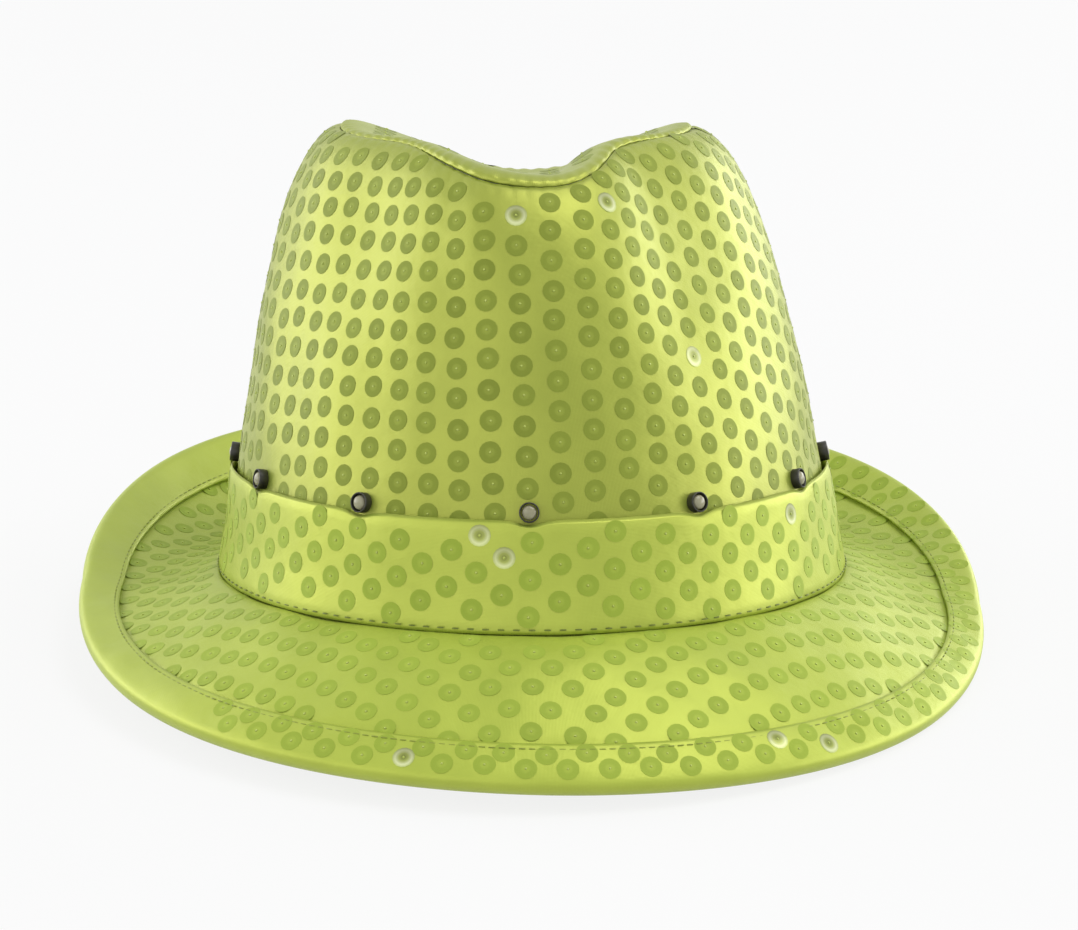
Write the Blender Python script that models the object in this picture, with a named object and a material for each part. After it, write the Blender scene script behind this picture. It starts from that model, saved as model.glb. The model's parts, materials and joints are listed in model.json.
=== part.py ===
"""A light-up costume fedora with a covered crown and brim, a lamp harness and a battery box.

Lengths are metres and angles are radians. The hat stands on z = 0 with +Z up, the wearer
faces -Y, and its overall box is centred on the Z axis. The shapes are worked out in the
hat's own frame, whose origin is the middle of the head opening, and the empty named hat
then leans that frame back until the brim rests on the surface.
"""
import math

import bmesh
import bpy
import numpy as np
from mathutils import Matrix, Vector

# Gap between pieces that touch
CLEARANCE = 0.0003

# Head opening, inside the sweatband
HEAD_LENGTH = 0.203
HEAD_WIDTH = 0.166

# Crown wall, from the head outwards
SWEATBAND_THICKNESS = 0.0010
SWEATBAND_HEIGHT = 0.028
LINING_THICKNESS = 0.0006
WIRE_SPACE = 0.0026
FORM_THICKNESS = 0.0012
COVER_THICKNESS = 0.0008
HATBAND_THICKNESS = 0.0010
HATBAND_HEIGHT = 0.029

# Crown shape: heights above the brim, and how far the wall has leant in at each bend
CROWN_SIDE_HEIGHT = 0.1285
CROWN_BACK_HEIGHT = 0.106
CROWN_DENT_HEIGHT = 0.110
CROWN_BEND_HEIGHT = 0.060
CROWN_BEND_INSET = 0.0115
CROWN_SHOULDER_INSET = 0.0208
CROWN_RIDGE_INSET = 0.0395
FRONT_NOTCH_DEPTH = 0.0085
FRONT_NOTCH_ANGLE = math.radians(26)
PINCH_DEPTH = 0.0105
PINCH_ANGLE = math.radians(44)
PINCH_FRONT_SPREAD = math.radians(17)
PINCH_BACK_SPREAD = math.radians(28)
PINCH_START = 0.17
PINCH_FULL = 0.70

# Brim: level reach past the crown, fall below the head opening, and rise towards the edge
BRIM_FRONT_REACH = 0.040
BRIM_SIDE_REACH = 0.0365
BRIM_BACK_REACH = 0.040
BRIM_FRONT_DROP = 0.0235
BRIM_SIDE_DROP = 0.0200
BRIM_BACK_DROP = 0.004
BRIM_FRONT_CURL = -0.005
BRIM_SIDE_CURL = 0.014
BRIM_BACK_CURL = 0.025
BRIM_DROP_POWER = 1.2
BRIM_CURL_POWER = 2.4
BRIM_CORE_THICKNESS = 0.0015
BRIM_RING_MARGIN = 0.0006
BINDING_WIDTH = 0.010
BINDING_THICKNESS = 0.0008

# Lamps in sleeves through the crown wall
LAMP_COUNT = 12
LAMP_LENS_DIAMETER = 0.0040
LAMP_FLANGE_DIAMETER = 0.0042
LAMP_FLANGE_HEIGHT = 0.0010
LAMP_LENGTH = 0.0040
LAMP_PROUD_OF_SLEEVE = 0.0004
LAMP_LEG_PITCH = 0.0025
LAMP_LEG_SIZE = 0.0005
SLEEVE_WALL = 0.0004
SLEEVE_PROUD = 0.0026

# Harness wires between the form and the lining
WIRE_DIAMETER = 0.0012
WIRE_HOLE_DIAMETER = 0.0022
LINING_SLOT_MARGIN = 0.0015
LINING_SLOT_FALL = 0.0040
WIRE_RISE_FIRST = 0.008
WIRE_RISE_STEP = 0.003
WIRE_ENTRY_SPACING = 0.0046
WIRE_BEND = 0.0048
WIRE_FALL_SHARES = ((0.3, 0.3), (0.8, 0.65))
WIRE_RING_POINTS = 44
WIRE_RISE_POINTS = 14

# Battery box inside the back of the crown
BOX_BOTTOM_HEIGHT = 0.037
BOX_WALL = 0.0012
BOX_SIDE_WALL = 0.0034
BOX_LIP = 0.0010
BOARD_BAY_LENGTH = 0.014
CELL_DIAMETER = 0.020
CELL_THICKNESS = 0.0032
CELL_PLAY = 0.0006
CELL_BEVEL = 0.0003
CONTACT_THICKNESS = 0.0003
CONTACT_WIDTH = 0.006
DOOR_THICKNESS = 0.0012
DOOR_TONGUE = 0.0014
DOOR_GRIP_COUNT = 3
DOOR_GRIP_SIZE = 0.0010
DOOR_GRIP_HEIGHT = 0.0006
BOX_COVER_THICKNESS = 0.0012
BUTTON_DIAMETER = 0.0070
BUTTON_PROUD = 0.0012
BUTTON_FLANGE = 0.0010
BUTTON_FLANGE_HEIGHT = 0.0008
BUTTON_STEM_DIAMETER = 0.0030
BUTTON_TRAVEL = 0.0008
BOARD_THICKNESS = 0.0010
BOARD_RAIL_WIDTH = 0.0012
SWITCH_SIZE = 0.0060
SWITCH_HEIGHT = 0.0030
SCREW_DIAMETER = 0.0016
SCREW_LENGTH = 0.0060
SCREW_HEAD_DIAMETER = 0.0032
SCREW_HEAD_HEIGHT = 0.0010
BOSS_WALL = 0.0010
BOSS_SINK = 0.0005
EAR_WIDTH = 0.010
EAR_LENGTH = 0.0045
EAR_HOLE_DIAMETER = 0.0016

# Mesh fineness
AROUND = 40
WALL_ROWS = (0.0, 0.2, 0.4, 0.6, 0.76, 0.89, 1.0)
TIP_ROWS = (0.0, 0.25, 0.5, 0.75)
LINING_ROWS = (0.0, 0.25, 0.5, 0.75, 1.0)
LINING_TIP_ROWS = (0.0, 0.4, 0.7)
LINING_SEAM = 0.86
BAND_ROWS = (0.0, 0.5, 1.0)
BRIM_ROWS = (0.35, 0.7)
BINDING_ROWS = (0.0, 0.5, 1.0)
BINDING_FOLD = (45, 0, -45)
ROUND_SIDES = 10
SMALL_SIDES = 8
LENS_TURNS = (0, 35, 70)
SHARP_ANGLE = math.radians(40)
OVERCUT = 0.001
SLOPE_STEP = 1e-4
SEARCH_STEPS = 40
FINE_STEPS = 720
FOOTPRINT_STEPS = 12
WALL_SEARCH_LOW = -0.2
LEAN_LIMIT = math.radians(45)

# Offsets from the outer face of the crown form, outwards positive
COVER_INSIDE = CLEARANCE
COVER_OUTSIDE = COVER_INSIDE + COVER_THICKNESS
HATBAND_INSIDE = COVER_OUTSIDE + CLEARANCE
HATBAND_OUTSIDE = HATBAND_INSIDE + HATBAND_THICKNESS
FORM_INSIDE = -FORM_THICKNESS
WIRE_OFFSET = FORM_INSIDE - WIRE_SPACE / 2
LINING_OUTSIDE = FORM_INSIDE - WIRE_SPACE
LINING_INSIDE = LINING_OUTSIDE - LINING_THICKNESS
SWEATBAND_OUTSIDE = LINING_INSIDE - CLEARANCE
SWEATBAND_INSIDE = SWEATBAND_OUTSIDE - SWEATBAND_THICKNESS

# Half axes of the form's outer face where it meets the brim
BASE_X = HEAD_WIDTH / 2 - SWEATBAND_INSIDE
BASE_Y = HEAD_LENGTH / 2 - SWEATBAND_INSIDE

# Offsets from the top of the brim core, upwards positive
TOP_COVER_LOW = CLEARANCE
TOP_COVER_HIGH = TOP_COVER_LOW + COVER_THICKNESS
UNDER_COVER_HIGH = -BRIM_CORE_THICKNESS - CLEARANCE
UNDER_COVER_LOW = UNDER_COVER_HIGH - COVER_THICKNESS
RING_OUTSET = HATBAND_OUTSIDE + BRIM_RING_MARGIN

# Lamp and sleeve sizes and places along the lamp's own axis, from the form's outer face
SLEEVE_BORE = LAMP_FLANGE_DIAMETER + 2 * CLEARANCE
SLEEVE_DIAMETER = SLEEVE_BORE + 2 * SLEEVE_WALL
SLEEVE_BACK = FORM_INSIDE
SLEEVE_FRONT = COVER_OUTSIDE + SLEEVE_PROUD
LAMP_FRONT = SLEEVE_FRONT + LAMP_PROUD_OF_SLEEVE
LAMP_BACK = LAMP_FRONT - LAMP_LENGTH
LAMP_LEG_END = WIRE_OFFSET + WIRE_DIAMETER / 2 + CLEARANCE
HATBAND_BOTTOM = TOP_COVER_HIGH + CLEARANCE
HATBAND_TOP = HATBAND_BOTTOM + HATBAND_HEIGHT
LAMP_HEIGHT = HATBAND_TOP + SLEEVE_DIAMETER / 2 + CLEARANCE

# Battery box levels, from its floor towards the head
PLATE_CONTACT_LEVEL = BOX_WALL + CLEARANCE
CELL_1_LEVEL = PLATE_CONTACT_LEVEL + CONTACT_THICKNESS + CLEARANCE
CELL_2_LEVEL = CELL_1_LEVEL + CELL_THICKNESS + CLEARANCE
SPRING_CONTACT_LEVEL = CELL_2_LEVEL + CELL_THICKNESS + CLEARANCE
GROOVE_LOW = SPRING_CONTACT_LEVEL + CONTACT_THICKNESS
DOOR_LEVEL = GROOVE_LOW + CLEARANCE
GROOVE_HIGH = DOOR_LEVEL + DOOR_THICKNESS + CLEARANCE
BOX_DEPTH = GROOVE_HIGH + BOX_LIP
COVER_LEVEL = BOX_DEPTH + CLEARANCE
COVER_TOP = COVER_LEVEL + BOX_COVER_THICKNESS
FLANGE_TOP = COVER_LEVEL - CLEARANCE
FLANGE_LOW = FLANGE_TOP - BUTTON_FLANGE_HEIGHT
STEM_LOW = FLANGE_LOW - BUTTON_FLANGE_HEIGHT
SWITCH_TOP = STEM_LOW - BUTTON_TRAVEL - CLEARANCE
SWITCH_LEVEL = SWITCH_TOP - SWITCH_HEIGHT
BOARD_TOP = SWITCH_LEVEL - CLEARANCE
BOARD_LEVEL = BOARD_TOP - BOARD_THICKNESS
BOARD_RAIL_TOP = BOARD_LEVEL - CLEARANCE

# Battery box plan, from its middle: x across the wall, y up the wall
CELL_BAY = CELL_DIAMETER + 2 * CELL_PLAY
BAY_HALF_WIDTH = CELL_BAY / 2
BOX_HALF_WIDTH = BAY_HALF_WIDTH + BOX_SIDE_WALL
BOX_HEIGHT = 3 * BOX_WALL + CELL_BAY + BOARD_BAY_LENGTH
BOX_LOW = -BOX_HEIGHT / 2
BOX_HIGH = BOX_HEIGHT / 2
CELL_BAY_LOW = BOX_LOW + BOX_WALL
CELL_BAY_HIGH = CELL_BAY_LOW + CELL_BAY
CELL_MIDDLE = (CELL_BAY_LOW + CELL_BAY_HIGH) / 2
BOARD_BAY_LOW = CELL_BAY_HIGH + BOX_WALL
BOARD_BAY_HIGH = BOX_HIGH - BOX_WALL
BOARD_MIDDLE = (BOARD_BAY_LOW + BOARD_BAY_HIGH) / 2
SCREW_HOLE_DIAMETER = SCREW_DIAMETER + 2 * CLEARANCE
BOSS_DIAMETER = SCREW_HOLE_DIAMETER + 2 * BOSS_WALL
BOSS_X = BAY_HALF_WIDTH + BOSS_SINK - BOSS_DIAMETER / 2
BOARD_HALF_WIDTH = BOSS_X - BOSS_DIAMETER / 2 - CLEARANCE
SCREW_LEVEL = COVER_TOP + CLEARANCE
GROOVE_HALF_WIDTH = BAY_HALF_WIDTH + DOOR_TONGUE
BUTTON_FLANGE_DIAMETER = BUTTON_DIAMETER + 2 * BUTTON_FLANGE

# Colours, roughness and metallic value of each material
MATERIALS = {
    "sequin_cloth": ((0.52, 0.58, 0.13, 1), 0.35, 0.3),
    "stiffener": ((0.66, 0.66, 0.60, 1), 0.80, 0.0),
    "lining_cloth": ((0.08, 0.08, 0.08, 1), 0.75, 0.0),
    "sweatband_cloth": ((0.05, 0.05, 0.05, 1), 0.70, 0.0),
    "lamp_plastic": ((0.72, 0.70, 0.64, 1), 0.10, 0.0),
    "sleeve_rubber": ((0.02, 0.02, 0.02, 1), 0.50, 0.0),
    "wire_plastic": ((0.35, 0.03, 0.03, 1), 0.45, 0.0),
    "box_plastic": ((0.03, 0.03, 0.03, 1), 0.45, 0.0),
    "button_plastic": ((0.45, 0.45, 0.45, 1), 0.40, 0.0),
    "board_laminate": ((0.05, 0.22, 0.08, 1), 0.50, 0.0),
    "steel": ((0.60, 0.60, 0.60, 1), 0.30, 1.0),
}


def clear_scene():
    """Remove every object that the file opens with."""
    for old in list(bpy.data.objects):
        bpy.data.objects.remove(old, do_unlink=True)


def make_materials():
    """One Principled material for each entry of MATERIALS."""
    made = {}
    for name, (colour, roughness, metallic) in MATERIALS.items():
        material = bpy.data.materials.new(name)
        material.use_nodes = True
        shader = material.node_tree.nodes["Principled BSDF"]
        shader.inputs["Base Color"].default_value = colour
        shader.inputs["Roughness"].default_value = roughness
        shader.inputs["Metallic"].default_value = metallic
        made[name] = material
    return made


def add_object(name, data, parent, material=None, place=None):
    """Link an object for this mesh or curve under its parent, placed in the parent's frame."""
    made = bpy.data.objects.new(name, data)
    bpy.context.scene.collection.objects.link(made)
    made.parent = parent
    if place is not None:
        made.matrix_local = place
    if material is not None and not data.materials:
        data.materials.append(material)
    return made


def finish_mesh(name, bm, smooth):
    """Turn a bmesh into a mesh whose faces point out."""
    bmesh.ops.recalc_face_normals(bm, faces=bm.faces)
    mesh = bpy.data.meshes.new(name)
    bm.to_mesh(mesh)
    bm.free()
    if smooth:
        mesh.shade_smooth()
        mesh.set_sharp_from_angle(angle=SHARP_ANGLE)
    return mesh


def add_cutter(name, data, parent):
    """An object that only shapes others, so it is drawn as wires and never rendered."""
    cutter = add_object(name, data, parent)
    cutter.hide_render = True
    cutter.display_type = "WIRE"
    return cutter


def boolean(target, operation, tool):
    """Cut a tool out of an object, or join it on."""
    modifier = target.modifiers.new(tool.name, "BOOLEAN")
    modifier.operation = operation
    modifier.solver = "EXACT"
    modifier.object = tool


def angles():
    """The angles round the hat, from the front towards the wearer's left."""
    return [2 * math.pi * step / AROUND for step in range(AROUND)]


def around(theta, front, side, back):
    """A brim value that swings from the front, by the side, to the back, with broad ends."""
    facing = math.sin(math.pi / 2 * math.cos(theta))
    end = front if facing > 0 else back
    return side + (end - side) * abs(facing)


def from_front(theta):
    """The angle from the front, without its side."""
    return abs((theta + math.pi) % (2 * math.pi) - math.pi)


def smooth_step(low, high, value):
    """0 below low, 1 above high, and a smooth rise between them."""
    share = min(max((value - low) / (high - low), 0.0), 1.0)
    return share * share * (3 - 2 * share)


def bezier(t, first, second, third, last):
    """A cubic curve's value at t, from its four control values."""
    u = 1 - t
    return u ** 3 * first + 3 * u * u * t * second + 3 * u * t * t * third + t ** 3 * last


def oval(theta, outset, height):
    """A point on the head oval, grown by an outset."""
    return Vector(((BASE_X + outset) * math.sin(theta), -(BASE_Y + outset) * math.cos(theta), height))


def ridge_height(theta):
    """Height of the ridge round the top, with its notch at the front."""
    notch = FRONT_NOTCH_DEPTH * math.exp(-(from_front(theta) / FRONT_NOTCH_ANGLE) ** 2)
    backward = max(-math.cos(theta), 0.0)
    fall = (CROWN_SIDE_HEIGHT - CROWN_BACK_HEIGHT) * backward ** 2
    return CROWN_SIDE_HEIGHT - fall - notch


def pinch(theta):
    """How deep the two front dents push the wall in: steep towards the front, gentle behind."""
    from_dent = from_front(theta) - PINCH_ANGLE
    spread = PINCH_FRONT_SPREAD if from_dent < 0 else PINCH_BACK_SPREAD
    return PINCH_DEPTH * math.exp(-(from_dent / spread) ** 2)


def crown_point(theta, t):
    """Outer face of the crown form: t runs 0 to 1 up the wall, and 1 to 2 from ridge to middle."""
    ridge = ridge_height(theta)
    wall_t = min(t, 1.0)
    inset = bezier(wall_t, 0, CROWN_BEND_INSET, CROWN_SHOULDER_INSET, CROWN_RIDGE_INSET)
    inset += pinch(theta) * smooth_step(PINCH_START, PINCH_FULL, wall_t)
    if t <= 1:
        return oval(theta, -inset, bezier(t, 0, CROWN_BEND_HEIGHT, ridge, ridge))
    share = 2 - t
    rim = oval(theta, -inset, 0)
    height = CROWN_DENT_HEIGHT + (ridge - CROWN_DENT_HEIGHT) * smooth_step(0, 1, share)
    return Vector((rim.x * share, rim.y * share, height))


def brim_point(theta, s):
    """Top of the brim core: s runs 0 to 1 from the flat ring to the edge."""
    reach = around(theta, BRIM_FRONT_REACH, BRIM_SIDE_REACH, BRIM_BACK_REACH)
    drop = around(theta, BRIM_FRONT_DROP, BRIM_SIDE_DROP, BRIM_BACK_DROP)
    curl = around(theta, BRIM_FRONT_CURL, BRIM_SIDE_CURL, BRIM_BACK_CURL)
    s = max(s, 0.0)
    height = curl * s ** BRIM_CURL_POWER - drop * s ** BRIM_DROP_POWER
    return oval(theta, RING_OUTSET + reach * s, height)


def slopes(surface, theta, along):
    """A surface's two tangents: round the hat, and along the second parameter."""
    turn = surface(theta + SLOPE_STEP, along) - surface(theta - SLOPE_STEP, along)
    run = surface(theta, along + SLOPE_STEP) - surface(theta, along - SLOPE_STEP)
    return turn, run


def crown_normal(theta, t):
    """Outward direction of the crown at a point."""
    if t > 2 - SLOPE_STEP:
        return Vector((0, 0, 1))
    turn, rise = slopes(crown_point, theta, t)
    return turn.cross(rise).normalized()


def wall_point(theta, t, offset):
    """A point on a layer of the crown."""
    return crown_point(theta, t) + offset * crown_normal(theta, t)


def wall_share(theta, height, offset):
    """The t at which a layer of the crown wall reaches a height."""
    low, high = WALL_SEARCH_LOW, 1.0
    for _ in range(SEARCH_STEPS):
        middle = (low + high) / 2
        if wall_point(theta, middle, offset).z < height:
            low = middle
        else:
            high = middle
    return low


def wall_at(theta, height, offset):
    """A point on a layer of the crown wall at a height."""
    return wall_point(theta, wall_share(theta, height, offset), offset)


def brim_layer_point(theta, s, offset):
    """A point on a layer of the brim, past its flat ring."""
    turn, run = slopes(brim_point, theta, s + SLOPE_STEP)
    normal = run.cross(turn).normalized()
    return brim_point(theta, s) + offset * normal


def wall_rings(rows, offset, bottom, top):
    """Rings of points up the wall, from a height to a share of the way to the ridge."""
    starts = {theta: wall_share(theta, bottom, offset) for theta in angles()}
    return [
        [wall_point(theta, starts[theta] + (top - starts[theta]) * row, offset) for theta in angles()]
        for row in rows
    ]


def tip_rings(rows, offset, start):
    """Rings of points from a place on the wall or tip in towards the middle."""
    return [
        [wall_point(theta, start + (2 - start) * row, offset) for theta in angles()]
        for row in rows
    ]


def band_rings(rows, offset, bottom, top):
    """Rings of points up a band on the wall, between two heights."""
    return [
        [wall_at(theta, bottom + (top - bottom) * row, offset) for theta in angles()]
        for row in rows
    ]


def binding_start(theta):
    """The share of the brim's width at which its edge binding starts."""
    return 1 - BINDING_WIDTH / (brim_point(theta, 1) - brim_point(theta, 0)).length


def binding_rings(offset):
    """Rings of points on a layer of the brim, over the width of its edge binding."""
    return [
        [brim_layer_point(theta, 1 - (1 - binding_start(theta)) * (1 - row), offset) for theta in angles()]
        for row in BINDING_ROWS
    ]


def brim_rings(inner_outset, offset):
    """Rings of points from a brim layer's inner edge, over the flat ring, to its outer edge."""
    flat = [[oval(theta, outset, offset) for theta in angles()] for outset in (inner_outset, RING_OUTSET)]
    open_part = [
        [brim_layer_point(theta, binding_start(theta) * row, offset) for theta in angles()]
        for row in BRIM_ROWS
    ]
    return flat + open_part + binding_rings(offset)


def add_rings(bm, rings):
    """Make the vertices of each ring."""
    return [[bm.verts.new(point) for point in ring] for ring in rings]


def join_rings(bm, first, second):
    """Triangles between two rings of as many vertices, mirrored from one half to the other.

    Layers that lie on each other are joined from the same rows in the same order, so
    their facets turn alike and keep their gap.
    """
    count = len(first)
    for step in range(count):
        after = (step + 1) % count
        if step < count // 2:
            bm.faces.new((first[step], first[after], second[after]))
            bm.faces.new((first[step], second[after], second[step]))
        else:
            bm.faces.new((first[step], first[after], second[step]))
            bm.faces.new((first[after], second[after], second[step]))


def loft(bm, rings):
    """Faces along a row of rings."""
    for first, second in zip(rings, rings[1:]):
        join_rings(bm, first, second)


def close_ring(bm, ring, point):
    """A fan of faces from a ring to one point."""
    middle = bm.verts.new(point)
    for step, corner in enumerate(ring):
        bm.faces.new((corner, ring[(step + 1) % len(ring)], middle))


def sleeve_mesh(name, outside, inside):
    """A band: its outer rings and its inner rings, joined at both open edges."""
    bm = bmesh.new()
    outer = add_rings(bm, outside)
    inner = add_rings(bm, inside)
    loft(bm, outer)
    loft(bm, inner)
    join_rings(bm, outer[0], inner[0])
    join_rings(bm, outer[-1], inner[-1])
    return finish_mesh(name, bm, True)


def dome_mesh(name, outside, inside, outer_middle, inner_middle):
    """A cap: outer rings and inner rings, each closed at the middle, joined at the open edge."""
    bm = bmesh.new()
    outer = add_rings(bm, outside)
    inner = add_rings(bm, inside)
    loft(bm, outer)
    loft(bm, inner)
    close_ring(bm, outer[-1], outer_middle)
    close_ring(bm, inner[-1], inner_middle)
    join_rings(bm, outer[0], inner[0])
    return finish_mesh(name, bm, True)


def turned_mesh(name, profile, sides):
    """A solid turned round the Z axis from (radius, height) points, closed at both ends."""
    bm = bmesh.new()
    rings = []
    for radius, height in profile:
        turns = [2 * math.pi * step / sides for step in range(sides)]
        rings.append([Vector((radius * math.cos(a), radius * math.sin(a), height)) for a in turns])
    made = add_rings(bm, rings)
    loft(bm, made)
    bm.faces.new(made[0])
    bm.faces.new(made[-1])
    return finish_mesh(name, bm, True)


def tube_mesh(name, diameter, bore, low, high):
    """A round tube along the Z axis."""
    def turns(across, level):
        steps = [2 * math.pi * step / ROUND_SIDES for step in range(ROUND_SIDES)]
        return [Vector((across / 2 * math.cos(a), across / 2 * math.sin(a), level)) for a in steps]

    outside = [turns(diameter, low), turns(diameter, high)]
    inside = [turns(bore, low), turns(bore, high)]
    return sleeve_mesh(name, outside, inside)


def blocks_mesh(name, blocks):
    """Boxes given by their low and high corners."""
    bm = bmesh.new()
    for low, high in blocks:
        size = Vector(high) - Vector(low)
        middle = (Vector(high) + Vector(low)) / 2
        place = Matrix.Translation(middle) @ Matrix.Diagonal((*size, 1))
        bmesh.ops.create_cube(bm, size=1, matrix=place)
    return finish_mesh(name, bm, False)


def rods_mesh(name, rods, sides):
    """Upright cylinders given by their middle, diameter, and low and high end."""
    bm = bmesh.new()
    for x, y, diameter, low, high in rods:
        place = Matrix.Translation((x, y, (low + high) / 2))
        bmesh.ops.create_cone(bm, cap_ends=True, segments=sides, radius1=diameter / 2,
                              radius2=diameter / 2, depth=high - low, matrix=place)
    return finish_mesh(name, bm, True)


def shape_blocks(target, operation, name, blocks, frame):
    """Cut boxes out of an object, or join them on. The boxes are in the frame's axes."""
    boolean(target, operation, add_cutter(name, blocks_mesh(name, blocks), frame))


def shape_rods(target, operation, name, rods, frame, sides):
    """Cut upright cylinders out of an object, or join them on. They are in the frame's axes."""
    boolean(target, operation, add_cutter(name, rods_mesh(name, rods, sides), frame))


def build_crown(hat, materials):
    """Form, covers, lining, sweatband and hatband, each a layer of the crown."""
    middle = crown_point(0, 2)
    up = Vector((0, 0, 1))
    wall_to_tip = tuple(1 + row for row in TIP_ROWS[1:])
    seam_step = CLEARANCE / (3 * (CROWN_RIDGE_INSET - CROWN_SHOULDER_INSET))

    def dome_rings(offset):
        rings = wall_rings(WALL_ROWS, offset, CLEARANCE, 1.0)
        return rings + [[wall_point(theta, t, offset) for theta in angles()] for t in wall_to_tip]

    form = dome_mesh("crown_form", dome_rings(0), dome_rings(FORM_INSIDE),
                     middle, middle + FORM_INSIDE * up)
    crown_form = add_object("crown_form", form, hat, materials["stiffener"])

    side = sleeve_mesh("crown_side_cover",
                       wall_rings(WALL_ROWS, COVER_OUTSIDE, CLEARANCE, 1 - seam_step),
                       wall_rings(WALL_ROWS, COVER_INSIDE, CLEARANCE, 1 - seam_step))
    side_cover = add_object("crown_side_cover", side, hat, materials["sequin_cloth"])

    tip = dome_mesh("crown_tip_cover",
                    tip_rings(TIP_ROWS, COVER_OUTSIDE, 1 + seam_step),
                    tip_rings(TIP_ROWS, COVER_INSIDE, 1 + seam_step),
                    middle + COVER_OUTSIDE * up, middle + COVER_INSIDE * up)
    add_object("crown_tip_cover", tip, hat, materials["sequin_cloth"])

    lining = sleeve_mesh("lining_side",
                         wall_rings(LINING_ROWS, LINING_OUTSIDE, CLEARANCE, LINING_SEAM),
                         wall_rings(LINING_ROWS, LINING_INSIDE, CLEARANCE, LINING_SEAM))
    lining_side = add_object("lining_side", lining, hat, materials["lining_cloth"])

    lining_top = dome_mesh("lining_tip",
                           tip_rings(LINING_TIP_ROWS, LINING_OUTSIDE, LINING_SEAM + seam_step),
                           tip_rings(LINING_TIP_ROWS, LINING_INSIDE, LINING_SEAM + seam_step),
                           middle + LINING_OUTSIDE * up, middle + LINING_INSIDE * up)
    add_object("lining_tip", lining_top, hat, materials["lining_cloth"])

    def sweat_rings(offset):
        rings = band_rings(BAND_ROWS, offset, CLEARANCE, SWEATBAND_HEIGHT)
        hem = [Vector((point.x, point.y, UNDER_COVER_LOW)) for point in rings[0]]
        return [hem] + rings

    sweat = sleeve_mesh("sweatband", sweat_rings(SWEATBAND_OUTSIDE), sweat_rings(SWEATBAND_INSIDE))
    add_object("sweatband", sweat, hat, materials["sweatband_cloth"])

    band = sleeve_mesh("hatband",
                       band_rings(BAND_ROWS, HATBAND_OUTSIDE, HATBAND_BOTTOM, HATBAND_TOP),
                       band_rings(BAND_ROWS, HATBAND_INSIDE, HATBAND_BOTTOM, HATBAND_TOP))
    add_object("hatband", band, hat, materials["sequin_cloth"])
    return crown_form, side_cover, lining_side


def binding_mesh():
    """Cloth folded over the brim's edge: a top arm, a round nose and an arm underneath."""
    inner_top = TOP_COVER_HIGH + CLEARANCE
    inner_low = UNDER_COVER_LOW - CLEARANCE
    outer_top = inner_top + BINDING_THICKNESS
    outer_low = inner_low - BINDING_THICKNESS
    nose_reach = 2 * BINDING_THICKNESS
    outward = {}
    for theta in angles():
        outward[theta] = (brim_point(theta, 1) - brim_point(theta, 1 - SLOPE_STEP)).normalized()

    def nose_point(theta, turn):
        high = brim_layer_point(theta, 1, outer_top)
        low = brim_layer_point(theta, 1, outer_low)
        level = (high + low) / 2 + (high - low) / 2 * math.sin(turn)
        return level + (CLEARANCE + nose_reach * math.cos(turn)) * outward[theta]

    bm = bmesh.new()
    arms = {offset: binding_rings(offset) for offset in (outer_top, outer_low, inner_low, inner_top)}
    for offset in (inner_low, inner_top):
        arms[offset][-1] = [p + CLEARANCE * outward[a] for p, a in zip(arms[offset][-1], angles())]
    made = {offset: add_rings(bm, rings) for offset, rings in arms.items()}
    nose = add_rings(bm, [[nose_point(a, math.radians(turn)) for a in angles()] for turn in BINDING_FOLD])
    for rings in made.values():
        loft(bm, rings)
    loft(bm, [made[outer_top][-1], *nose, made[outer_low][-1]])
    join_rings(bm, made[inner_top][-1], made[inner_low][-1])
    join_rings(bm, made[outer_top][0], made[inner_top][0])
    join_rings(bm, made[outer_low][0], made[inner_low][0])
    return finish_mesh("brim_edge_binding", bm, True)


def build_brim(hat, materials):
    """Core, covers and folded edge binding, each a layer of the brim."""
    inside_wall = LINING_INSIDE
    layers = (
        ("brim_core", 0.0, -BRIM_CORE_THICKNESS, inside_wall, "stiffener"),
        ("brim_top_cover", TOP_COVER_HIGH, TOP_COVER_LOW, COVER_OUTSIDE + CLEARANCE, "sequin_cloth"),
        ("brim_under_cover", UNDER_COVER_HIGH, UNDER_COVER_LOW, inside_wall, "sequin_cloth"),
    )
    for name, high, low, inner_outset, material in layers:
        mesh = sleeve_mesh(name, brim_rings(inner_outset, high), brim_rings(inner_outset, low))
        add_object(name, mesh, hat, materials[material])

    add_object("brim_edge_binding", binding_mesh(), hat, materials["sequin_cloth"])


def lamp_angles():
    """Angles that put the lamps at equal distances round the wall, one at the front."""
    fine = [2 * math.pi * step / FINE_STEPS for step in range(FINE_STEPS + 1)]
    points = [wall_at(theta, LAMP_HEIGHT, COVER_OUTSIDE) for theta in fine]
    run = np.cumsum([0.0] + [(b - a).length for a, b in zip(points, points[1:])])
    return [float(np.interp(run[-1] * lamp / LAMP_COUNT, run, fine)) for lamp in range(LAMP_COUNT)]


def lamp_place(theta):
    """The lamp's frame: origin on the form's outer face, Z straight out, Y up the wall."""
    t = wall_share(theta, LAMP_HEIGHT, COVER_OUTSIDE)
    out = crown_normal(theta, t)
    across = Vector((0, 0, 1)).cross(out).normalized()
    rotation = Matrix((across, out.cross(across), out)).transposed()
    return Matrix.Translation(crown_point(theta, t)) @ rotation.to_4x4()


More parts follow.
